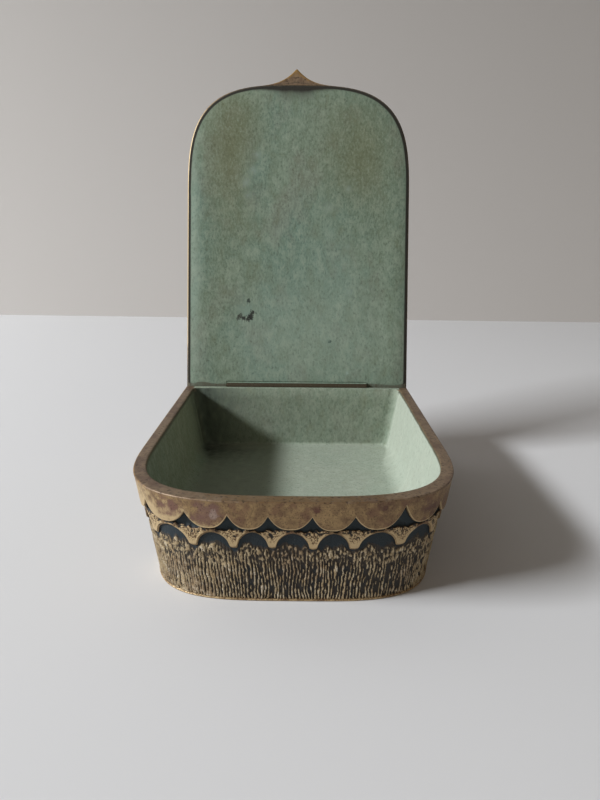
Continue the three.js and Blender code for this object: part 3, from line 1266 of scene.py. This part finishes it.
@dataclass
class Bark(Piece):
    """The broad band of bark below the teeth, a ring let into the recess of the wall."""

    groove: float = 1.6
    relief: float = 0.45
    back: float = 2.3
    bottom: float = 28.5
    groove_shade: float = 0.84
    per_lappet: int = 52
    levels: int = 46

    def build(self) -> bpy.types.Object:
        """Builds the ring: its carved face from the top down, then its plain back.

        The inset of the face is the groove's less the relief times the bark's height. The
        face is plain above a ragged starting line, which dips under the tip of each tooth.

        Returns:
            The object.
        """
        s = self.pattern.stations(self.shape, self.per_lappet)
        edge = self.pattern.tooth_edge(s)
        start = self.pattern.bark_start + 2.2 * s.noise(1.4, 14)
        start = start + self.pattern.tip_clearance * self.pattern.near_tip(s) ** 2
        start = np.maximum(start, edge + 0.6)
        self.ring(s, edge - 0.6, self.groove + 0.2, 0.0)
        for share in np.linspace(0, 1, self.levels):
            drop = edge + 0.05 + (self.bottom - edge - 0.05) * share
            cover = smoothstep(-0.4, 0.9, drop - start)
            crest, loose = self.pattern.bark(s.arc, drop, s.perimeter)
            self.ring(s, drop, self.groove - self.relief * crest * cover, crest * cover,
                      cover, loose * cover)
        for drop, inset in ((self.bottom + 0.1, self.groove + 0.2),
                            (self.bottom + 0.1, self.back), (edge - 0.6, self.back)):
            self.ring(s, drop, inset, 0.0)
        made = casting("tray_bark", self.rows, tray_place, self.finishes, closed=True)
        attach(made, Body.TRAY.value)
        return made

    def ring(
        self, s: Stations, drop: Amount, inset: Amount, crest: Amount, cover: Amount = 0.0,
        loose: Amount = 0.0,
    ) -> None:
        """Adds a ring of the bark.

        Args:
            s: the stations.
            drop: drops below the rim, in mm.
            inset: insets from the face of the lappets, in mm.
            crest: the height of the bark, from 0 to 1.
            cover: how far the bark has begun, from 0 above its starting line to 1.
            loose: how far the ridges are broken into grains, whose patina is patchy.
        """
        groove = self.groove_shade + (1 - self.groove_shade) * (1 - cover)
        hollow = groove * (1 - crest) * (1 - 0.55 * loose) + 0.2 * loose
        self.wall_ring(s, drop, inset, Surface.RELIEF, 0.75 * crest, hollow, 0.2)


@dataclass
class Lid(Piece):
    """The upper casting: a flat plate with a bevel, a sunk outer field and a thumb tab."""

    gap: float = 0.3
    thickness: float = 2.8
    bevel: float = 0.8
    field_depth: float = 0.6
    tab_length: float = 6.3
    tab_half_width: float = 19.0
    tab_thickness: float = 2.2
    tab_offset: float = -1.0
    tab_power: float = 3.4
    tab_step: float = 0.7
    roll: float = 0.5
    roll_width: float = 6.0
    heel: float = 3.55
    border_edge: float = 0.22
    per_lappet: int = 32

    def tab_reach(self, s: Stations, x: Array) -> Array:
        """How far the thumb tab stands out: two hollow curves that meet in a point.

        Args:
            s: the stations.
            x: the points' places across the lid, in mm.

        Returns:
            The tab's length times a power of the share of the way to its side, in mm.
        """
        share = np.clip(1 - np.abs(x - self.tab_offset) / self.tab_half_width, 0, 1)
        front = (s.place > 1) & (s.place < 2)
        return np.minimum(self.tab_length, 1.05 * self.tab_length * share ** self.tab_power) * front

    def ring(
        self, s: Stations, inset: Amount, up: Amount, surface: Surface, tab: float = 0.0,
        wear_and_highlight: Amount = 0.0, hollow: Amount = 0.0,
    ) -> None:
        """Adds a ring of points of the closed lid.

        Args:
            s: the stations.
            inset: insets from the lid's edge, in mm.
            up: heights above the inner face, in mm.
            surface: the finish.
            tab: the share of the tab's length that this ring follows.
            wear_and_highlight: rubbed bright metal and painted highlights, from 0 to 1.
            hollow: how dark the patina is, with painted shade, from 0 to 1.
        """
        x, y = self.shape.outline(s.place, self.shape.height, inset, self.heel)
        y = y - self.tab_reach(s, x) * tab
        z = self.shape.height + self.gap + np.asarray(up, float)
        self.rows.add((x, y, z), surface, wear_and_highlight, hollow, 0.0, (x, z, y))

    def build(self) -> bpy.types.Object:
        """Builds the lid as one closed mesh, from the middle of its inner face outwards.

        Returns:
            The object.
        """
        fine = self.pattern.stations(self.shape, self.per_lappet)
        self.add_inner_face(fine)
        self.add_edge(fine)
        self.add_outer_face(fine)
        self.cut_channel()
        made = casting("lid_casting", self.rows, lid_place, self.finishes, flip=True)
        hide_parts("lid")
        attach(made, Body.LID.value)
        return made

    def tint(self, x: Array, y: Array) -> Array:
        """Where the coat is thin and olive, or chalky where it is below zero, in soft spots.

        A spot falls off as exp(-d^2) of the distance in its own half widths.

        Args:
            x: places across the lid, in mm.
            y: places along it, in mm.

        Returns:
            Shares from -1 to 1.
        """
        total = 0.0 * x
        for middle_x, middle_y, wide, long, most in (
            (-26.0, -94.0, 12.0, 30.0, 0.9), (25.0, -92.0, 15.0, 26.0, 0.85),
            (-32.0, -40.0, 8.0, 40.0, 0.2), (41.0, -60.0, 5.0, 60.0, 0.1),
            # The chalky strip at x = -42.5, down the left edge, is painted light where the rolled
            # edge faces the lamp.
            (-42.5, -65.0, 3.5, 60.0, -0.4), (5.0, -18.0, 42.0, 24.0, -0.32),
            (-18.0, -86.0, 7.0, 12.0, -0.45), (18.0, -62.0, 12.0, 22.0, -0.2),
        ):
            total = total + most * np.exp(
                -((x - middle_x) / wide) ** 2 - ((y - middle_y) / long) ** 2)
        return total

    def add_inner_face(self, fine: Stations) -> None:
        """Adds the inner face, coated with verdigris, darker in a thin border, with painted shade
        round the thumb tab.

        The face rolls over towards its edge by a square law.

        Args:
            fine: the stations of the relief.
        """
        s, top = fine.sparse(), self.shape.height
        level = top + self.gap
        x, y = self.shape.outline(s.place, top, self.roll_width + 0.5, self.heel)
        self.rows.add_plate(
            (x, y, level), np.linspace(0, 1, 30), Surface.VERDIGRIS, 0.3, 11.0, 0.85, 0.0,
            lambda p: {"hollow": self.tab_shade(p[0], p[1]), "pits": self.tint(p[0], p[1])},
        )
        for inset in np.arange(self.roll_width, 0.3, -0.24):
            x, y = self.shape.outline(fine.place, top, inset, self.heel)
            up = self.roll * (1 - inset / self.roll_width) ** 2
            line, bare = self.hinge_line(x, y), smoothstep(1.3, 0.5, inset)
            border = 0.5 * (inset < 1.3) + 0.3 * smoothstep(2.6, 1.0, inset)
            self.rows.add((x, y, level + up), Surface.VERDIGRIS, 0.35 * bare + 0.5 * line,
                          self.tab_shade(x, y) + border + 0.3 * line, self.tint(x, y))

    def hinge_line(self, x: Array, y: Array) -> Array:
        """A thin wavering line of brown along the hinge, as a share from 0 to 1."""
        waver = value_noise(x + 200, x * 0, (6.0, 1.0), 17, 400.0) - 0.5
        return smoothstep(AXIS_Y - 1.5, AXIS_Y - 0.9, y + 0.8 * waver)

    def tab_shade(self, x: Array, y: Array) -> Array:
        """Painted shade at the round end: a shadow under the thumb tab and a wider darkening near
        it.

        Args:
            x: places across the lid, in mm.
            y: places along it, in mm.

        Returns:
            Shades from 0 to 1.
        """
        from_end = self.shape.length + y
        side = smoothstep(26.0, 6.0, np.abs(x - self.tab_offset + 2.0))
        near = smoothstep(18.0, 2.0, np.abs(x - self.tab_offset))
        under_tab = 0.5 * side * smoothstep(4.0, 0.3, from_end)
        return under_tab + 0.5 * near * smoothstep(12.0, 1.0, from_end)

    def add_edge(self, s: Stations) -> None:
        """Adds the lid's edge and the thumb tab, which is set back from the inner face.

        The tab's near side is a step up from the inner face, its end a thin edge, and its
        far side the bevel's foot.

        Args:
            s: the stations.
        """
        top, step, back = self.thickness - self.bevel, self.tab_step, self.tab_thickness
        # Painted light: the left edge, which faces the lamp, is painted bright like rubbed metal,
        # and the other edges are painted darker as shade.
        left = smoothstep(0.1, 0.35, s.place) * smoothstep(1.35, 1.15, s.place)
        rub_and_highlight, dark, rim, band = 1.3 * left, 0.55 - left, Surface.RIM, Surface.BAND
        face = ((0.15, 0.3), (0.3, 0.4), (0.5, 0.5), (0.7, 0.7), (0.87, 0.8))
        for inset, up, surface, tab, wear_and_highlight, hollow in (
            (0.32, self.roll, Surface.VERDIGRIS, 0.0, 0.6, 0.5),
            (0.28, self.roll + 0.03, band, 0.0, rub_and_highlight, dark),
            (0.02, self.roll + 0.17, band, 0.0, rub_and_highlight, dark), (0.02, step, rim, 0.02, 0.5, 0.0),
            *((0.02, step, rim, tab, wear_and_highlight, 0.62 - 0.7 * tab) for tab, wear_and_highlight in face),
            (0.02, step + 0.02, rim, 0.97, 1.1, 0.0), (0.0, step + 0.15, rim, 1.0, 1.2, 0.0),
            (0.0, (step + top) / 2, rim, 1.0, 0.5, 0.0), (0.0, top - 0.15, rim, 1.0, 0.5, 0.0),
            (0.12, back - 0.12, rim, 0.99, 0.8, 0.0), (0.2, back - 0.02, rim, 0.93, 0.7, 0.0),
            (0.21, back - 0.01, rim, 0.5, 0.5, 0.0), (0.22, back, rim, 0.0, 0.3, 0.0),
        ):
            self.ring(s, inset, up, surface, tab, wear_and_highlight, hollow)

    def add_outer_face(self, fine: Stations) -> None:
        """Adds the bevel, the border with its lappets, and the sunk field inside them.

        Args:
            fine: the stations of the relief.
        """
        top, relief = self.thickness, Surface.RELIEF
        lappet = self.pattern.lappet_edge(fine)
        floor = top - self.field_depth - 0.1
        start = self.bevel + 0.1
        self.ring(fine, self.bevel - 0.1, top - 0.1, relief, wear_and_highlight=0.75)
        self.ring(fine, start, top, relief, wear_and_highlight=0.75)
        for share in (0.2, 0.45, 0.7, 0.9, 1.0):
            inset = start + (lappet - self.border_edge - start) * share
            self.ring(fine, inset, top, relief, wear_and_highlight=0.35 + 0.3 * share ** 6)
        for along, down in rounded_edge(self.border_edge, 4)[1:]:
            self.ring(fine, lappet - along, top - down, relief, wear_and_highlight=0.9)
        self.ring(fine, lappet + 0.05, floor + 0.1, relief, hollow=0.8)
        self.ring(fine, lappet + 0.15, floor, relief, hollow=1.0)
        s = fine.sparse()
        x, y = self.shape.outline(s.place, self.shape.height, lappet[::4] + 0.6, self.heel)
        level = self.shape.height + self.gap + floor
        self.rows.add_plate((x, y, level), np.linspace(0.995, 0, 12), relief, 0.0)

    def cut_channel(self) -> None:
        """Sinks the groove for the hinge barrel into the inner face.

        Points over the barrel are lifted to the circle round the hinge axis.
        """
        for ring in self.rows.points:
            radius, over = self.barrel.channel(ring[:, 0])
            reach = radius ** 2 - (ring[:, 1] - AXIS_Y) ** 2
            arch = AXIS_Z + np.sqrt(np.maximum(reach, 0.0))
            over &= (reach > 0) & (ring[:, 2] < arch)
            ring[over, 2] = arch[over]


@dataclass
class LidBark(Piece):
    """The carved field of the lid's outer face: a thin slab with ridges from end to end."""

    inset: float = 4.0
    floor: float = 31.42
    relief: float = 0.42
    depth: float = 0.5
    heel: float = 3.55
    groove_shade: float = 0.84
    columns: int = 390
    lengths: int = 224

    def build(self) -> bpy.types.Object:
        """Builds the slab from cross-sections, each as wide as the outline at its place.

        A section runs over the carved top from left to right and back along the bottom. The
        two ends are closed by a pole.

        Returns:
            The object.
        """
        edge_x, edge_y = (np.concatenate(halves) for halves in zip(*(
            self.shape.outline(places, self.shape.height, self.inset, self.heel)
            for places in (np.linspace(1.5, 2, 2001), np.linspace(2, 3, 2001))
        )))
        low, high = edge_y.min(), edge_y.max()
        across = np.linspace(-1, 1, self.columns)
        self.pole(high)
        for share in np.linspace(0, 1, self.lengths):
            y = high - (high - low - 0.02) * share
            half = float(np.interp(y, edge_y, edge_x))
            x = half * across
            crest, _ = self.pattern.bark(x + 200.0, 40.0 - y, 400.0)
            top = self.floor + self.relief * crest
            ring = (
                np.append(x, [half, -half]), np.full(self.columns + 2, y),
                np.append(top, [self.floor - self.depth] * 2),
            )
            hollow = np.append(self.groove_shade * (1 - crest), [1, 1])
            self.rows.add(ring, Surface.RELIEF, np.append(0.75 * crest, [0, 0]), hollow, 0.0,
                          (ring[0], ring[2], ring[1]))
        self.pole(low)
        made = casting("lid_bark", self.rows, lid_place, self.finishes)
        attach(made, Body.LID.value)
        return made

    def pole(self, y: float) -> None:
        """Adds the single point that closes an end."""
        place = tuple(np.array([value]) for value in (0.0, y, self.floor - self.depth / 2))
        self.rows.add(place, Surface.RELIEF, hollow=1.0)


@dataclass
class Hinge:
    """The hinge: five short tubes, taken by tray and lid in turn, on one brass wire.

    The tubes stand closer than in the frame, where the gap is for the moving joint.
    """

    tube_finish: bpy.types.Material
    wire_finish: bpy.types.Material
    barrel: Barrel = field(default_factory=Barrel)
    bore: float = 0.83
    pin_radius: float = 0.75
    pin_taper: float = 0.15
    gap: float = 0.04
    chamfer: float = 0.04
    steps: int = 48

    def turned(
        self, name: str, profile: list[tuple[float, float, float]], centre: float,
        closed: bool, finish: bpy.types.Material,
    ) -> bpy.types.Object:
        """Carries a profile and its mirror image round the hinge axis.

        Args:
            name: the object's name.
            profile: places along the axis, radii in mm and how far each ring is rubbed, from
                the left end to the middle.
            centre: the middle of the piece along X, in mm.
            closed: whether the profile is a loop; otherwise it starts and ends on the axis.
            finish: the material.

        Returns:
            The object.
        """
        rows = Rows()
        turn = np.arange(self.steps) / self.steps * 2 * np.pi
        mirrored = [(-along, radius, rub_and_highlight) for along, radius, rub_and_highlight in reversed(profile[:-1])]
        for along, radius, rub_and_highlight in profile + mirrored:
            angles = turn[:1] if radius == 0 else turn
            y, z = AXIS_Y + radius * np.cos(angles), AXIS_Z + radius * np.sin(angles)
            front = smoothstep(0.97, 0.7, np.sin(angles))
            rows.add((centre + along + 0 * angles, y, z), Surface.RELIEF, wear_and_highlight=rub_and_highlight * front)
        return casting(name, rows, tray_place, (finish,), closed, flip=True)

    def build(self) -> list[bpy.types.Object]:
        """Builds the knuckles and the pin, each in place of its solid of the frame.

        Returns:
            The objects, the pin last.
        """
        names = (
            "tray_knuckle_left", "lid_knuckle_left", "tray_knuckle_centre",
            "lid_knuckle_right", "tray_knuckle_right",
        )
        r, c, length = self.barrel.radius, self.chamfer, self.barrel.length
        each = (length - (len(names) - 1) * self.gap) / len(names)
        half, made = each / 2, []
        profile = [
            (-half, self.bore, 0.5), (-half, r - c, 1.0), (c / 3 - half, r - c / 3, 1.0),
            (c - half, r, 1.0), (3 * c - half, r, 1.0), (0.0, r, 1.0),
        ]
        for i, node in enumerate(names):
            centre = (i - 2) * (each + self.gap)
            tube = self.turned(node + "_tube", profile, centre, True, self.tube_finish)
            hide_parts(node)
            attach(tube, node.split("_")[0])
            made.append(tube)
        half, r = length / 2, self.pin_radius
        profile = [
            (-half, 0, 0.5), (-half, r * 0.7, 0.5), (self.pin_taper - half, r, 0.5), (0.0, r, 0.5),
        ]
        pin = self.turned("hinge_wire", profile, 0.0, False, self.wire_finish)
        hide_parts("hinge_pin")
        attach(pin, Body.TRAY.value)
        made.append(pin)
        return made


@dataclass
class Studio:
    """A pale table, a pale wall behind it, one soft lamp from the left and a plain fill."""

    table_colour: str = "#d6d7d9"
    wall_colour: str = "#b7b4b1"
    # The wall's top colour is painted shade: the wall darkens upwards as the lamp's light falls
    # off.
    wall_top_shade: str = "#9d9a97"
    paint_roughness: float = 0.8
    table_drop: float = 0.05
    half_size: float = 2500.0
    wall_distance: float = 475.0
    wall_turn: float = -1.8
    lamp_direction: tuple[float, float, float] = (0.82, 0.25, -0.515)
    lamp_distance: float = 1850.0
    lamp_size: tuple[float, float] = (730.0, 200.0)
    lamp_level: float = 1.33
    lamp_colour: str = "#fbfdff"
    fill_colour: str = "#ffecd6"
    horizon_level: float = 0.43
    zenith_level: float = 0.02

    def build(self) -> None:
        """Builds the stage, the lamp and the world."""
        size, down = self.half_size, self.table_drop
        lean = math.tan(math.radians(self.wall_turn)) * size
        left, right = self.wall_distance - lean, self.wall_distance + lean
        table = [[-size, -size, -down], [size, -size, -down], [size, size, -down],
                 [-size, size, -down]]
        wall = [[-size, left, -1], [size, right, -1], [size, right, size], [-size, left, size]]
        floor, back = (
            make_object(name, np.array(corners) * MM, [np.array([[0, 1, 2, 3]])])
            for name, corners in (("studio_table", table), ("studio_wall", wall))
        )
        floor.data.materials.append(
            self.paint("studio_table", self.table_colour, self.table_colour))
        back.data.materials.append(
            self.paint("studio_wall", self.wall_colour, self.wall_top_shade))
        self.light()

    def paint(self, name: str, low: str, high: str) -> bpy.types.Material:
        """A plain matt paint.

        Args:
            name: the material's name.
            low: its colour at the level of the table.
            high: its colour 300 mm above it, which on the wall is a darker colour that paints
                shade.

        Returns:
            The material.
        """
        material, tree, place = start_material(name)
        height = add(tree, "ShaderNodeSeparateXYZ", {0: place}).outputs["Z"]
        colour, _ = lay(tree, linear(low), high, height, 0.0, 300 * MM, smooth=False)
        shader = add(tree, "ShaderNodeBsdfPrincipled", {
            "Base Color": colour, "Roughness": self.paint_roughness,
        })
        add(tree, "ShaderNodeOutputMaterial", {"Surface": shader.outputs[0]})
        return material

    def light(self) -> None:
        """Adds the lamp and the fill, which comes from low down, as from a room's walls.

        A lamp of power P at distance d lights a facing surface by P / (pi d)^2 of its
        colour, so that the level of 1 shows a colour as it is written.
        """
        way = Vector(self.lamp_direction).normalized()
        data = bpy.data.lights.new("window", "AREA")
        data.shape = "RECTANGLE"
        data.size, data.size_y = (size * MM for size in self.lamp_size)
        data.color = linear(self.lamp_colour)[:3]
        data.energy = self.lamp_level * (math.pi * self.lamp_distance * MM) ** 2
        lamp = bpy.data.objects.new("window", data)
        lamp.location = -way * self.lamp_distance * MM
        lamp.rotation_euler = way.to_track_quat("-Z", "Y").to_euler()
        bpy.context.scene.collection.objects.link(lamp)
        world = bpy.data.worlds.new("fill")
        world.use_nodes = True
        tree = world.node_tree
        tree.nodes.clear()
        way_up = add(tree, "ShaderNodeTexCoord").outputs["Generated"]
        height = add(tree, "ShaderNodeSeparateXYZ", {0: way_up}).outputs["Z"]
        level = add(tree, "ShaderNodeMapRange", {
            "Value": height, "To Min": self.horizon_level, "To Max": self.zenith_level,
        }).outputs[0]
        background = add(tree, "ShaderNodeBackground", {
            "Color": linear(self.fill_colour), "Strength": level,
        })
        add(tree, "ShaderNodeOutputWorld", {"Surface": background.outputs[0]})
        bpy.context.scene.world = world


@dataclass(frozen=True)
class View:
    """The camera, as fitted to the photographed outlines of rim and lid."""

    place: tuple[float, float, float] = (2.023, -228.746, 93.263)
    pitch: float = 14.29
    yaw: float = -0.13
    roll: float = -0.475
    lens: float = 31.004
    clip: tuple[float, float] = (0.01, 20.0)

    def build(self) -> None:
        """Makes the camera. It looks along fwd, with right and down as the picture's axes."""
        pitch, yaw, roll = (math.radians(a) for a in (self.pitch, self.yaw, self.roll))
        fwd = Vector((
            math.sin(yaw) * math.cos(pitch), math.cos(yaw) * math.cos(pitch), -math.sin(pitch),
        ))
        level = Vector((math.cos(yaw), -math.sin(yaw), 0.0))
        plumb = fwd.cross(level)
        right = level * math.cos(roll) + plumb * math.sin(roll)
        down = plumb * math.cos(roll) - level * math.sin(roll)
        data = bpy.data.cameras.new("camera")
        data.lens = self.lens
        data.clip_start, data.clip_end = self.clip
        camera = bpy.data.objects.new("camera", data)
        turn = Matrix((right, -down, -fwd)).transposed().to_4x4()
        camera.matrix_world = Matrix.Translation(Vector(self.place) * MM) @ turn
        bpy.context.scene.collection.objects.link(camera)
        bpy.context.scene.camera = camera


def wall_stains(shape: BoxShape) -> tuple[Spot, ...]:
    """Mauve stains on the left lappets, a pale fleck and small dark ones.

    Args:
        shape: the plan outline.

    Returns:
        The spots.
    """
    return tuple(
        Spot(shape.at(place, drop), radius, colour, 0.85, 0.9)
        for place, drop, radius, colour in (
            # The pale fleck at place 1.37 is a painted glint.
            (1.3, 3.6, 5.0, "#6f4f46"), (1.36, 3.6, 5.2, "#775a50"), (1.37, 4.3, 1.6, "#9a877c"),
            (1.54, 2.3, 1.5, "#57332c"), (1.65, 1.6, 2.2, "#56392f"), (1.74, 4.3, 3.2, "#5e4238"),
        )
    )


def lid_spots() -> tuple[Spot, ...]:
    """A chip in the lid's coat with its pale halo, and soft pale flecks."""
    return tuple(
        Spot(on_lid(x, up), radius, colour, strength, softness)
        for x, up, radius, colour, strength, softness in (
            (-20.8, 30.5, 5.0, "#7b9084", 0.6, 1.2), (-23.6, 28.2, 1.5, "#2f2f28", 0.9, 0.7),
            (-21.9, 27.6, 1.5, "#272a25", 0.95, 0.7), (-20.2, 27.4, 1.5, "#262823", 0.95, 0.7),
            (-18.8, 28.2, 1.6, "#1f211d", 0.95, 0.6), (-18.3, 29.8, 1.4, "#282b26", 0.95, 0.6),
            (-19.9, 34.6, 1.2, "#2c352f", 0.9, 0.6), (13.5, 18.3, 1.0, "#3d4f48", 0.8, 0.6),
            (-16.9, 93.7, 2.4, "#8b9b92", 0.5, 1.3), (-18.4, 87.6, 2.6, "#8b9b92", 0.55, 1.3),
            (-21.2, 82.3, 3.0, "#87968f", 0.5, 1.4), (-20.3, 77.4, 2.4, "#87968f", 0.5, 1.3),
            (-8.3, 62.5, 2.6, "#879287", 0.4, 1.4), (20.2, 79.9, 2.0, "#8a998e", 0.5, 1.2),
            (12.5, 72.5, 3.4, "#86948a", 0.4, 1.4), (20.3, 56.7, 2.2, "#83958b", 0.5, 1.3),
            (21.2, 38.2, 2.0, "#88998f", 0.5, 1.2), (20.4, 5.6, 1.2, "#93a89d", 0.6, 0.9),
        )
    )


def report(made: bpy.types.Object) -> None:
    """Logs a piece with its number of triangles."""
    count = sum(len(p.vertices) - 2 for p in made.data.polygons)
    LOG.info("%s: %d triangles", made.name, count)


def main() -> None:
    """Builds the box piece by piece, and reports each piece."""
    logging.basicConfig(level=logging.INFO, format="%(name)s: %(message)s")
    bpy.context.scene.view_settings.view_transform = "Standard"
    View().build()
    Studio().build()
    wall = BoxShape()
    relief = PatinatedBronze("cast bronze, brown patina, hand-rubbed").material()
    # Lighter and more golden than the rest, with small even specks: it is handled most.
    band = PatinatedBronze(
        "cast bronze, light brown patina, smooth", metal="#957c56", deep_metal="#6f573d",
        speck="#46311f", stain="#69473a", stain_share=0.45, cloud=6.0, dot=0.36,
        spots=wall_stains(wall),
    ).material()
    # Greyer, with a plain satin, and warm only at the front.
    rim = PatinatedBronze(
        "cast bronze, filed flat, brown patina", metal="#88745e", deep_metal="#6f5b47",
        stain="#5b4338", stain_share=0.5, rubbed="#94743f",
        spots=(Spot(wall.at(1.5, 0.0), 30.0, "#7b6142", 0.8, 0.9),),
    ).material()
    # Brown-black and dull, as it came from the sand, because no hand rubs it.
    under = PatinatedBronze(
        "cast bronze, as cast, dark", metal="#5d4d3c", deep_metal="#453a2e",
        roughness=(0.6, 0.68), stain_share=0.4,
    ).material()
    # Thin bright crests on a brown-black ground: the patina stays between the strokes.
    bark = PatinatedBronze(
        "cast bronze, dark patina, bark crests rubbed", metal="#bbaa89", deep_metal="#a28c69",
        rubbed="#ccc5b8", hollow="#37312a", cold_hollow="#1f2a30", stain_share=0.3,
        dot=0.38, raggedness=0.7,
    ).material()
    # Paler than the lid's, and chalky where the light falls on it, a paleness that partly
    # paints that light; its dark colour serves both the dark specks and the painted shade.
    inside = Verdigris(
        "bronze, painted verdigris, tray", green="#7f8b7b", teal="#788979", grey="#84897c",
        olive="#84866a", pale="#98a291", chalk="#c1c8bb", dark="#232f29",
    ).material()
    # A deeper green, with a chip in the coat and soft pale flecks.
    lid_inside = Verdigris("bronze, painted verdigris, lid", spots=lid_spots()).material()
    # A finer mottle, to suit its size: green where nothing rubs it and brown in front.
    tube = Verdigris(
        "drawn bronze tube, verdigris on top, brown in front", bare="#4c4436", mottle=1.6,
    ).material()
    # Yellower than the castings, and even, because a die drew it smooth.
    wire = PatinatedBronze(
        "drawn brass wire, satin", metal="#9b8257", deep_metal="#83693f", stain_share=0.2,
    ).material()
    report(Tray((relief, rim, inside, under, band)).build())
    report(Bark((bark,)).build())
    report(Lid((relief, rim, lid_inside, under, band)).build())
    report(LidBark((bark,)).build())
    for part in Hinge(tube, wire).build():
        report(part)


if __name__ == "__main__":
    main()
